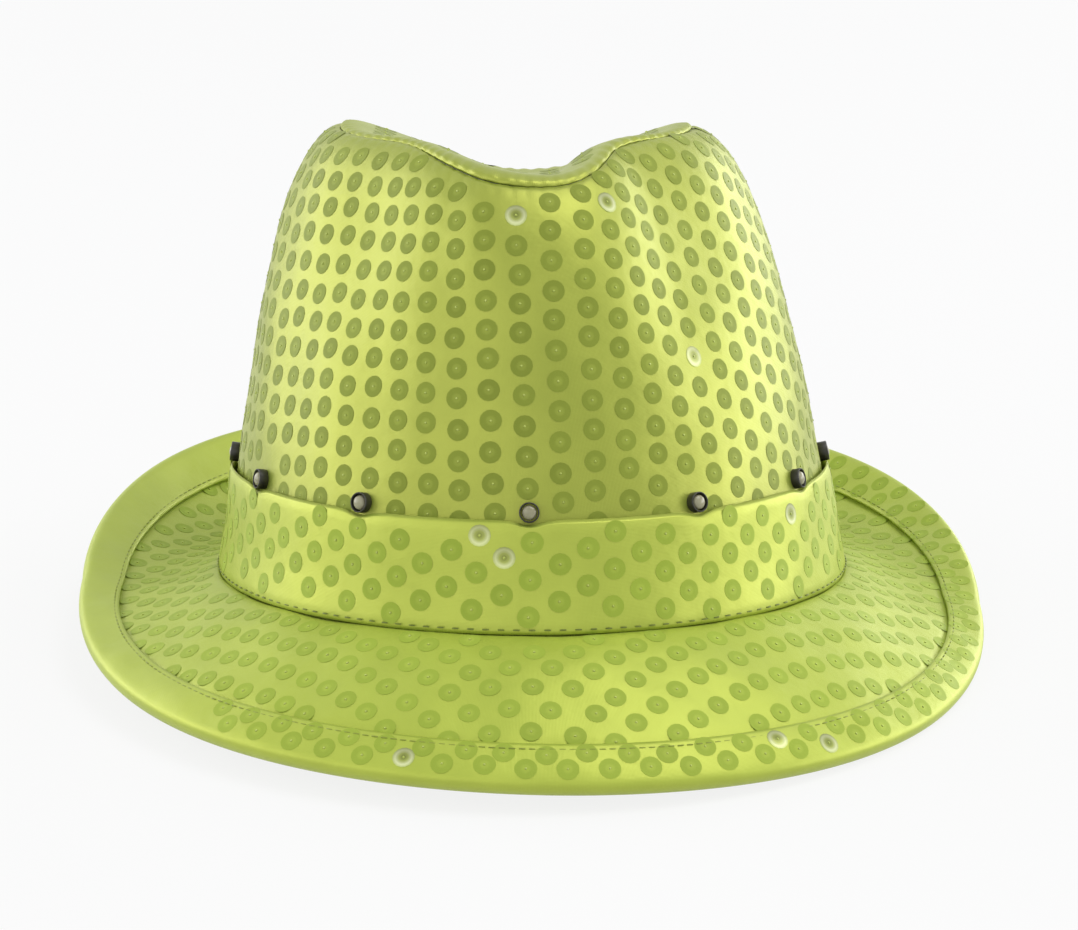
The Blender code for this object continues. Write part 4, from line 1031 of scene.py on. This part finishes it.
def tip_place(x, y):
    """The angle and share of places on the tip, seen from above."""
    inset = 0.0
    for _ in range(TIP_PASSES + 1):
        theta = np.arctan2(x / (BASE_X - inset), -y / (BASE_Y - inset))
        inset = crown_inset(theta, 1.0)
    return theta, 2 - np.hypot(x / (BASE_X - inset), y / (BASE_Y - inset))


def tip_spread(surface, theta, along, x, y):
    """Angles and shares at steps of x and y from places on the tip."""
    middle = surface(theta, along)
    return tip_place(middle[:, :1] - crown_lean(middle[:, 2:]) + x, middle[:, 1:2] + y)


def tip_lattice():
    """Sequin places on the tip, in columns from front to back."""
    columns, rows = (steps(most) for most in TIP_STEPS)
    x, y = np.meshgrid(columns * TIP_COLUMN, rows * TIP_PITCH)
    y = y + TIP_PITCH / 2 * (columns % 2)
    theta, t = tip_place(x.ravel(), y.ravel())
    inside = (t > PAST_RIDGE) & (t < POLE)
    return theta[inside], t[inside]


def build_crown_tip():
    """Tip panel with a raised welt just outside the ridge, with its sequins."""
    level = cloth_level(crown_surface, COVER[0], make_ripple(*TIP_RIPPLE))
    theta, t = tip_lattice()
    centres = on_crown(theta, t, level(theta, t))
    angles, rows = grid(FINE, np.linspace(0, 1, TIP_ROWS) ** TIP_ROW_POWER)
    seam = tip_seam(angles) + SEAM_GAP
    rows = seam + (POLE - seam) * rows
    flat = on_crown(angles, rows, COVER[0])
    edge = np.linalg.norm(flat - flat[:1], axis=-1)
    welt = WELT_HEIGHT * smooth_step(*WELT_RISE, edge) * (1 - smooth_step(*WELT_FALL, edge))
    groove = SEAM_DEPTH * bell(edge, TIP_SEAM_REACH)
    offset = level(angles, rows) + welt - pucker(flat, centres) - groove + gather(flat, edge)
    outer = on_crown(angles, rows, offset)
    back_rows = seam + (POLE - seam) * np.linspace(0, 1, BACK_ROWS)[:, None]
    inner = on_crown(angles, back_rows, COVER[1])
    cover = shell("crown_tip_cloth", "crown_tip_cover", outer, inner, SATIN)
    sew_on("crown_tip", crown_surface, theta, t, level, SEQUIN, spread=tip_spread)


def band_top(theta):
    """Height of the band's top edge, lower at the lamps."""
    points = on_crown(theta, wall_share(theta, LAMP_HEIGHT, 0.0), 0.0)
    apart = np.linalg.norm(points[..., None, :] - LAMP_CENTRES, axis=-1).min(axis=-1)
    return BAND_HIGH + BAND_RISE * (1 - bell(apart, BAND_NOTCH))


def band_lattice():
    """Sequin places on the band: rows in two slanting directions."""
    middle = (BAND_LOW + BAND_HIGH) / 2
    angles, run = wall_ring(-math.pi, middle, BAND[0])
    first, second = [BAND_PITCH * np.array((math.cos(a), math.sin(a))) for a in BAND_TURNS]
    i, j = np.meshgrid(steps(BAND_STEPS), steps(BAND_STEPS))
    u = (i * first[0] + j * second[0]).ravel()
    v = (i * first[1] + j * second[1]).ravel() + middle
    inside = np.abs(u) < run[-1] / 2 - BAND_END_ROOM
    inside &= (v > BAND_LOW + EDGE_ROOM) & (v < BAND_HIGH - BAND_TOP_ROOM)
    u = u[inside] + rng.normal(0, SEQUIN_JITTER, inside.sum())
    theta = np.interp(u + run[-1] / 2, run, angles)
    return theta, wall_share(theta, v[inside], BAND[0])


def build_band():
    """Folded bias strip round the crown's foot, with its sequins and stitches."""
    ripple = make_ripple(*BAND_RIPPLE)

    def level(theta, along):
        """Offset of the band's outer face, which flares a little towards its top edge."""
        spot = crown_surface(theta, along)
        rise = (spot[..., 2] - BAND_LOW) / (BAND_HIGH - BAND_LOW)
        return BAND[0] + BAND_FLARE * smooth_step(*BAND_FLARE_RUN, rise) + ripple(spot)

    theta, t = band_lattice()
    centres = on_crown(theta, t, level(theta, t))
    sleeves = LAMP_CENTRES + SLEEVE_MIDDLE * LAMP_FRAMES[:, 2]
    clear = ~near_any(centres, sleeves, SLEEVE_RADIUS + SLEEVE_ROOM)
    angles, rows = grid(FINE, np.linspace(0, 1, BAND_ROWS))
    share = wall_share(angles, BAND_LOW + (band_top(angles) - BAND_LOW) * rows, BAND[0])
    flat = on_crown(angles, share, BAND[0])
    roll = BAND_ROLL * (smooth_step(*BAND_ROLL_RUN, rows) + smooth_step(*BAND_ROLL_RUN, 1 - rows) - 2)
    outer = on_crown(angles, share, level(angles, share) + roll - pucker(flat, centres[clear]))
    back = BAND[1] + BAND_FLARE * smooth_step(*BAND_FLARE_RUN, rows)
    inner = on_crown(angles, share[::BAND_STEP], back[::BAND_STEP])
    band = shell("hatband_cloth", "hatband", outer, inner, BIAS_SATIN_PAINTED_LIGHTER)
    sew_on("hatband", crown_surface, theta[clear], t[clear], level, SEQUIN_PAINTED_LIGHTER, spots=BAND_PAINTED_GLINT_SPOTS)
    # Stitches in thread darkened as painted shade along the band's bottom seam
    seam = equal_turns(BAND_STITCH_HEIGHT, BAND[0], BAND_STITCHES)
    stitch_line("hatband_stitches", crown_surface, seam, wall_share(seam, BAND_STITCH_HEIGHT, BAND[0]),
                BAND[0] + STITCH_LIFT, STITCH_TURN, STITCH_WIDTH, SEAM_THREAD_PAINTED_SHADE)


def binding_start(theta):
    """The share of the brim's width at which its binding starts."""
    ring, edge = [brim_surface(theta, np.full_like(theta, s)) for s in (0, 1)]
    return 1 - BINDING_WIDTH / np.linalg.norm(edge - ring, axis=-1)


binding_ripple = make_ripple(*BINDING_RIPPLE)


def binding_level(theta, s, side):
    """Offset of the binding's top or under face, puffed and uneven."""
    start = binding_start(theta)
    bulge = np.sin(math.pi * np.clip((s - start) / (1 - start), 0, 1))
    wave = binding_ripple(brim_surface(theta, s)) * bulge
    base = BINDING_TOP[0] if side > 0 else BINDING_LOW[0]
    return base + side * BINDING_PUFF * bulge ** PUFF_POWER + wave


def brim_lattice(shift, first):
    """Sequin places on the brim past a first share, in staggered rows."""
    columns, rows = (steps(most) for most in BRIM_STEPS)
    x, y = np.meshgrid(columns * BRIM_PITCH, rows * BRIM_ROW + shift)
    x = x + BRIM_PITCH / 2 * (rows % 2)[:, None]
    x = x.ravel() + rng.normal(0, SEQUIN_JITTER, x.size)
    y = y.ravel() + rng.normal(0, SEQUIN_JITTER, y.size)
    low, high = (np.full(x.shape, limit) for limit in OUTSET_SEARCH)
    outset = search(low, high, lambda out: np.hypot(x / (BASE_X + out), y / (BASE_Y + out)) > 1)
    theta = np.arctan2(x / (BASE_X + outset), -y / (BASE_Y + outset))
    s = (outset - RING_OUTSET) / around(theta, BRIM_REACH)
    inside = (s > first) & (s < binding_start(theta))
    return theta[inside], s[inside]


def hem_lattice(phase):
    """Sequin places on the binding: staggered rows, bare at the left."""
    edge = np.linspace(0, 2 * math.pi, RING_POINTS)
    run = run_lengths(brim_surface(edge, np.ones_like(edge)))
    count = round(run[-1] / HEM_PITCH)
    angles = []
    shares = []
    for row, inset in enumerate(HEM_ROWS):
        places = (np.arange(count) + phase + row / 2) / count * run[-1]
        theta = np.interp(places + rng.normal(0, SEQUIN_JITTER, count), run, edge)
        ragged = (theta > RAGGED_EDGE[0]) & (theta < RAGGED_EDGE[1]) & (row == 1)
        inset = inset + rng.normal(0, SEQUIN_JITTER, count) + np.where(ragged, RAGGED_INSET, 0.0)
        start = binding_start(theta)
        angles.append(theta)
        shares.append(start + (1 - start) * inset / BINDING_WIDTH)
    theta = np.concatenate(angles)
    shown = (theta < HEM_PLAIN[0]) | (theta > HEM_PLAIN[1])
    return theta[shown], np.concatenate(shares)[shown]


def brim_rows(theta, first, count):
    """Rows of shares over a brim layer, to under the binding."""
    end = binding_start(theta) + HEM_COVERED
    return first + (end - first) * np.linspace(0, 1, count)[:, None]


def build_brim_layer(name, node, offsets, side, shift, first_share, inner_outset):
    """One cloth layer of the brim with its sequins: side is 1 on top and -1 below."""
    theta, s = brim_lattice(shift, first_share)
    hem_theta, hem_s = hem_lattice(HEM_PHASE + HEM_PHASE_STEP * side)
    face, back = offsets[::side]
    level = cloth_level(brim_surface, face, make_ripple(*BRIM_RIPPLE), side)

    def hem_level(turn, along):
        """Offset of the binding's shown face, which falls away round the edge."""
        past = np.maximum(along - 1, 0) * around(turn, BRIM_REACH)
        return binding_level(turn, along, side) - side * HEM_FALL * past ** 2

    centres = on_brim(theta, s, level(theta, s))
    angles = turns(FINE)
    first = (inner_outset - RING_OUTSET) / around(angles, BRIM_REACH)
    rows = brim_rows(angles, first, BRIM_ROWS)
    flat = on_brim(angles, rows, face)
    edge = np.abs(rows - binding_start(angles)) * around(angles, BRIM_REACH)
    dips = pucker(flat, centres) + HEM_SEAM_DEPTH * bell(edge, HEM_SEAM_REACH)
    shown = on_brim(angles, rows, level(angles, rows) - side * dips)
    hidden = on_brim(angles, brim_rows(angles, first, BRIM_BACK_ROWS), back)
    cloth = shell(name + "_cloth", node, *(shown, hidden)[::side], BRIM_SATIN_PAINTED_LIGHTER, flip=True)
    sew_on(name, brim_surface, theta, s, level, SEQUIN_PAINTED_LIGHTER, side)
    spots = HEM_PAINTED_GLINT_SPOTS if side > 0 else ()
    sew_on(name + "_hem", brim_surface, hem_theta, hem_s, hem_level, SEQUIN_PAINTED_LIGHTER, side, spots)


def build_binding():
    """Strip folded over the brim's edge, with a stitch line along each arm."""
    theta = turns(FINE)
    start = binding_start(theta)
    s = start + (1 - start) * np.linspace(0, 1, BINDING_ROWS)[:, None]
    top, low = [on_brim(theta, s, binding_level(theta, s, side)) for side in (1, -1)]
    back_s = s[::BINDING_STEP]
    top_in, low_in = [on_brim(theta, back_s, arm[1]) for arm in (BINDING_TOP, BINDING_LOW)]
    ones = np.ones_like(theta)
    out = unit(brim_surface(theta, ones) - brim_surface(theta, ones - SLOPE_STEP))
    middle = (top[-1] + low[-1]) / 2
    half = (top[-1] - low[-1]) / 2
    nose = [middle + half * math.sin(a) + NOSE_REACH * math.cos(a) * out for a in NOSE_TURNS]
    fold = [arm[-1] + BINDING_FOLD * out for arm in (top_in, low_in)]
    outer = np.concatenate([top, nose, low[::-1]])
    inner = np.concatenate([top_in, fold, low_in[::-1]])
    binding = shell("brim_edge_cloth", "brim_edge_binding", outer, inner, BRIM_SATIN_PAINTED_LIGHTER, flip=True)
    seam = turns(HEM_STITCHES)
    share = binding_start(seam) + HEM_STITCH_INSET / around(seam, BRIM_REACH)
    for name, arm, side in (("brim_top_stitches", BINDING_TOP, 1), ("brim_under_stitches", BINDING_LOW, -1)):
        stitch_line(name, brim_surface, seam, share, arm[0] + side * HEM_STITCH_LIFT, HEM_STITCH_TURN,
                    HEM_STITCH_WIDTH, HEM_THREAD, side)


def build_hidden_layers():
    """The stiff form and brim core, in the soft hat's shape."""
    rows = [np.linspace(WALL_FIRST, 1, FORM_ROWS), np.linspace(PAST_RIDGE, POLE, FORM_TIP_ROWS)]
    angles, rows = grid(COARSE, np.concatenate(rows))
    form = [on_crown(angles, rows, offset) for offset in FORM]
    shell("crown_form_felt", "crown_form", *form, FELT, "stiffener")
    first = (LINING[1] - RING_OUTSET) / around(angles, BRIM_REACH)
    s = first + (1 - first) * np.linspace(0, 1, FORM_TIP_ROWS)[:, None]
    core = [on_brim(angles, s, offset) for offset in BRIM_CORE]
    shell("brim_core_felt", "brim_core", *core, FELT, "stiffener", flip=True)


def pleats(theta, rows):
    """How far the lining's pleats stand in, flat where the box sits."""
    folds = 1 + np.sin(PLEATS * theta + PLEAT_WANDER * np.sin(PLEAT_WANDERS * theta))
    free = smooth_step(*PLEAT_FREE, math.pi - from_front(theta))
    return PLEAT_DEPTH * folds * smooth_step(*PLEAT_RISE, rows) * free


def build_lining():
    """Lining panels of the crown's side and tip."""
    angles, rows = grid(FINE, np.linspace(WALL_FIRST, LINING_SEAM, FORM_ROWS))
    side = on_crown(angles, rows, LINING[0])
    inside = on_crown(angles, rows, LINING[1] - pleats(angles, rows))
    lining = shell("lining_side_cloth", "lining_side", side, inside, LINING_CLOTH, "lining_cloth")
    angles, rows = grid(FINE, np.linspace(LINING_SEAM + SEAM_GAP, POLE, FORM_ROWS))
    fade = np.clip((PLEAT_END - rows) / (PLEAT_END - LINING_SEAM), 0, 1)
    top = on_crown(angles, rows, LINING[0])
    below = on_crown(angles, rows, LINING[1] - pleats(angles, 1.0) * fade)
    tip = shell("lining_tip_cloth", "lining_tip", top, below, LINING_CLOTH, "lining_cloth")


def build_sweatband():
    """Tape round the head opening, wavy along its top, with its stitches."""
    rows = np.linspace(0, 1, TAPE_ROWS)
    angles, heights = grid(FINE, BRIM_UNDER[1] + (SWEATBAND_HIGH - BRIM_UNDER[1]) * rows)
    waves = np.sin(TAPE_WAVES * angles + TAPE_WAVE_TURN) - 1
    slack = TAPE_WAVE_DEPTH * smooth_step(*TAPE_WAVE_RISE, rows)[:, None] * waves
    sides = []
    for offset, loose in zip(SWEATBAND, (0.0, slack)):
        share = wall_share(angles, np.maximum(heights, FOOT), offset)
        points = on_crown(angles, share, offset + loose)
        points[..., 2] = np.minimum(points[..., 2], heights)
        sides.append(points)
    band = shell("sweatband_tape", "sweatband", *sides, TAPE, "sweatband_cloth")
    seam = turns(TAPE_STITCHES)
    stitch_line("sweatband_stitches", crown_surface, seam, wall_share(seam, TAPE_STITCH_HEIGHT, SWEATBAND[1]),
                SWEATBAND[1] - STITCH_LIFT, STITCH_TURN, STITCH_WIDTH, BLACK_WIRE, -1, "sweatband_cloth")


def sleeve_template():
    """A rubber tube with a rounded front lip."""
    rim = SLEEVE_FRONT - SLEEVE_CORNER
    profile = [(SLEEVE_BORE, SLEEVE_BACK), (SLEEVE_RADIUS, SLEEVE_BACK),
               (SLEEVE_RADIUS, SLEEVE_FRONT - SLEEVE_LIP), (SLEEVE_RADIUS - SLEEVE_CORNER, rim),
               (SLEEVE_RADIUS - SLEEVE_LIP, SLEEVE_FRONT), (SLEEVE_BORE + SLEEVE_MOUTH, rim),
               (SLEEVE_BORE, SLEEVE_FRONT - SLEEVE_LIP)]
    return turned(profile, LAMP_SIDES, True)


def lens_template():
    """A lens with a flange at its back and a domed front."""
    shoulder = LENS_FRONT - LENS_DOME
    flange = LENS_BACK + FLANGE_HEIGHT
    profile = [(LENS_BACK_HOLE, LENS_BACK), (FLANGE_RADIUS, LENS_BACK),
               (FLANGE_RADIUS, flange), (LENS_RADIUS, flange)]
    profile += [(LENS_RADIUS * math.cos(a), shoulder + LENS_DOME * math.sin(a)) for a in DOME_TURNS]
    return turned(profile, LAMP_SIDES, False)


def build_lamps():
    """Lenses in black sleeves, with a metal cup and legs in each."""
    lens = lens_template()
    sleeve = sleeve_template()
    for number in range(LAMP_COUNT):
        place = LAMP_CENTRES[number:number + 1], LAMP_FRAMES[number:number + 1]
        label = f"{number + 1:02d}"
        make_piece("lamp_lens_" + label, *copies(lens, *place), LENS, "lamp_plastic", "lamp_" + label)
        make_piece("lamp_tube_" + label, *copies(sleeve, *place), RUBBER, "sleeve_rubber",
                   "lamp_sleeve_" + label)
    cups = copies(turned(CUP_PROFILE, CUP_SIDES, True), LAMP_CENTRES, LAMP_FRAMES)
    make_piece("lamp_cups", *cups, BRIGHT_STEEL, "steel")
    half = LEG_SIZE / 2
    for name, y in (("lamp_legs_high", LEG_PITCH / 2), ("lamp_legs_low", -LEG_PITCH / 2)):
        leg = block((-half, y - half, LEG_END), (half, y + half, LENS_BACK - LEG_GAP))
        make_piece(name, *copies(leg, LAMP_CENTRES, LAMP_FRAMES), BRIGHT_STEEL, "steel", smooth=False)


def dress_cad_nodes():
    """Materials of the CAD pieces that stay as they are."""
    dressed = {
        "positive_wire": RED_WIRE, "negative_wire": BLACK_WIRE, "battery_box_base": BOX_PLASTIC,
        "battery_box_cover": BOX_PLASTIC, "battery_door": BOX_PLASTIC, "tact_switch": BOX_PLASTIC,
        "push_button": BUTTON_PLASTIC, "circuit_board": BOARD, "coin_cell_1": STEEL, "coin_cell_2": STEEL,
        "plate_contact": STEEL, "spring_contact": STEEL, "cover_screw_left": STEEL,
        "cover_screw_right": STEEL,
    }
    for name, material in dressed.items():
        node = frame["nodes"][name]
        node.data.materials.clear()
        node.data.materials.append(material)


def add_aimed(name, data, place, ahead):
    """A camera or light at a place, looking ahead."""
    made = bpy.data.objects.new(name, data)
    made.location = place
    made.rotation_euler = ahead.to_track_quat("-Z", "Y").to_euler()
    bpy.context.scene.collection.objects.link(made)
    return made


def build_camera():
    """The photo's camera."""
    place, _, _, ahead = camera_axes()
    data = bpy.data.cameras.new("photo_camera")
    data.sensor_width = SENSOR_WIDTH
    data.lens = SENSOR_WIDTH * PHOTO_SCALE * CAMERA_DISTANCE / PHOTO_WIDTH
    bpy.context.scene.camera = add_aimed("photo_camera", data, place, ahead)


def add_softbox(name, place, size, power):
    """A rectangular area light aimed at the crown."""
    data = bpy.data.lights.new(name, "AREA")
    data.shape = "RECTANGLE"
    data.size, data.size_y = size
    data.energy = power
    add_aimed(name, data, place, LIGHT_TARGET - Vector(place))


def build_world():
    """Soft light from all round, before a white background."""
    world = bpy.data.worlds.new("studio")
    world.use_nodes = True
    bpy.context.scene.world = world
    tree = world.node_tree
    soft = tree.nodes["Background"]
    soft.inputs["Color"].default_value = AMBIENT_COLOUR
    soft.inputs["Strength"].default_value = AMBIENT_STRENGTH
    white = add_node(tree, "Background", {"Color": (1, 1, 1, 1), "Strength": 1.0})
    mix_out(tree, seen_itself(tree), soft, white, "World Output")


def build_stage():
    """Floor and lights."""
    bpy.ops.mesh.primitive_plane_add(size=FLOOR_SIZE, location=(0, 0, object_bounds()[0].z - FLOOR_GAP))
    floor = bpy.context.object
    floor.name = "floor"
    floor.data.materials.append(make_floor())
    for softbox in SOFTBOXES:
        add_softbox(*softbox)
    build_world()
    bpy.context.scene.view_settings.view_transform = "Standard"


build_hidden_layers()
build_crown_side()
build_crown_tip()
build_band()
build_brim_layer("brim_top", "brim_top_cover", BRIM_TOP, 1, 0.0, TOP_FIRST, COVER[0] + BRIM_TOP_GAP)
build_brim_layer("brim_under", "brim_under_cover", BRIM_UNDER, -1, UNDER_SHIFT, UNDER_FIRST, LINING[1])
build_binding()
build_lining()
build_sweatband()
build_lamps()
dress_cad_nodes()
build_camera()
build_stage()
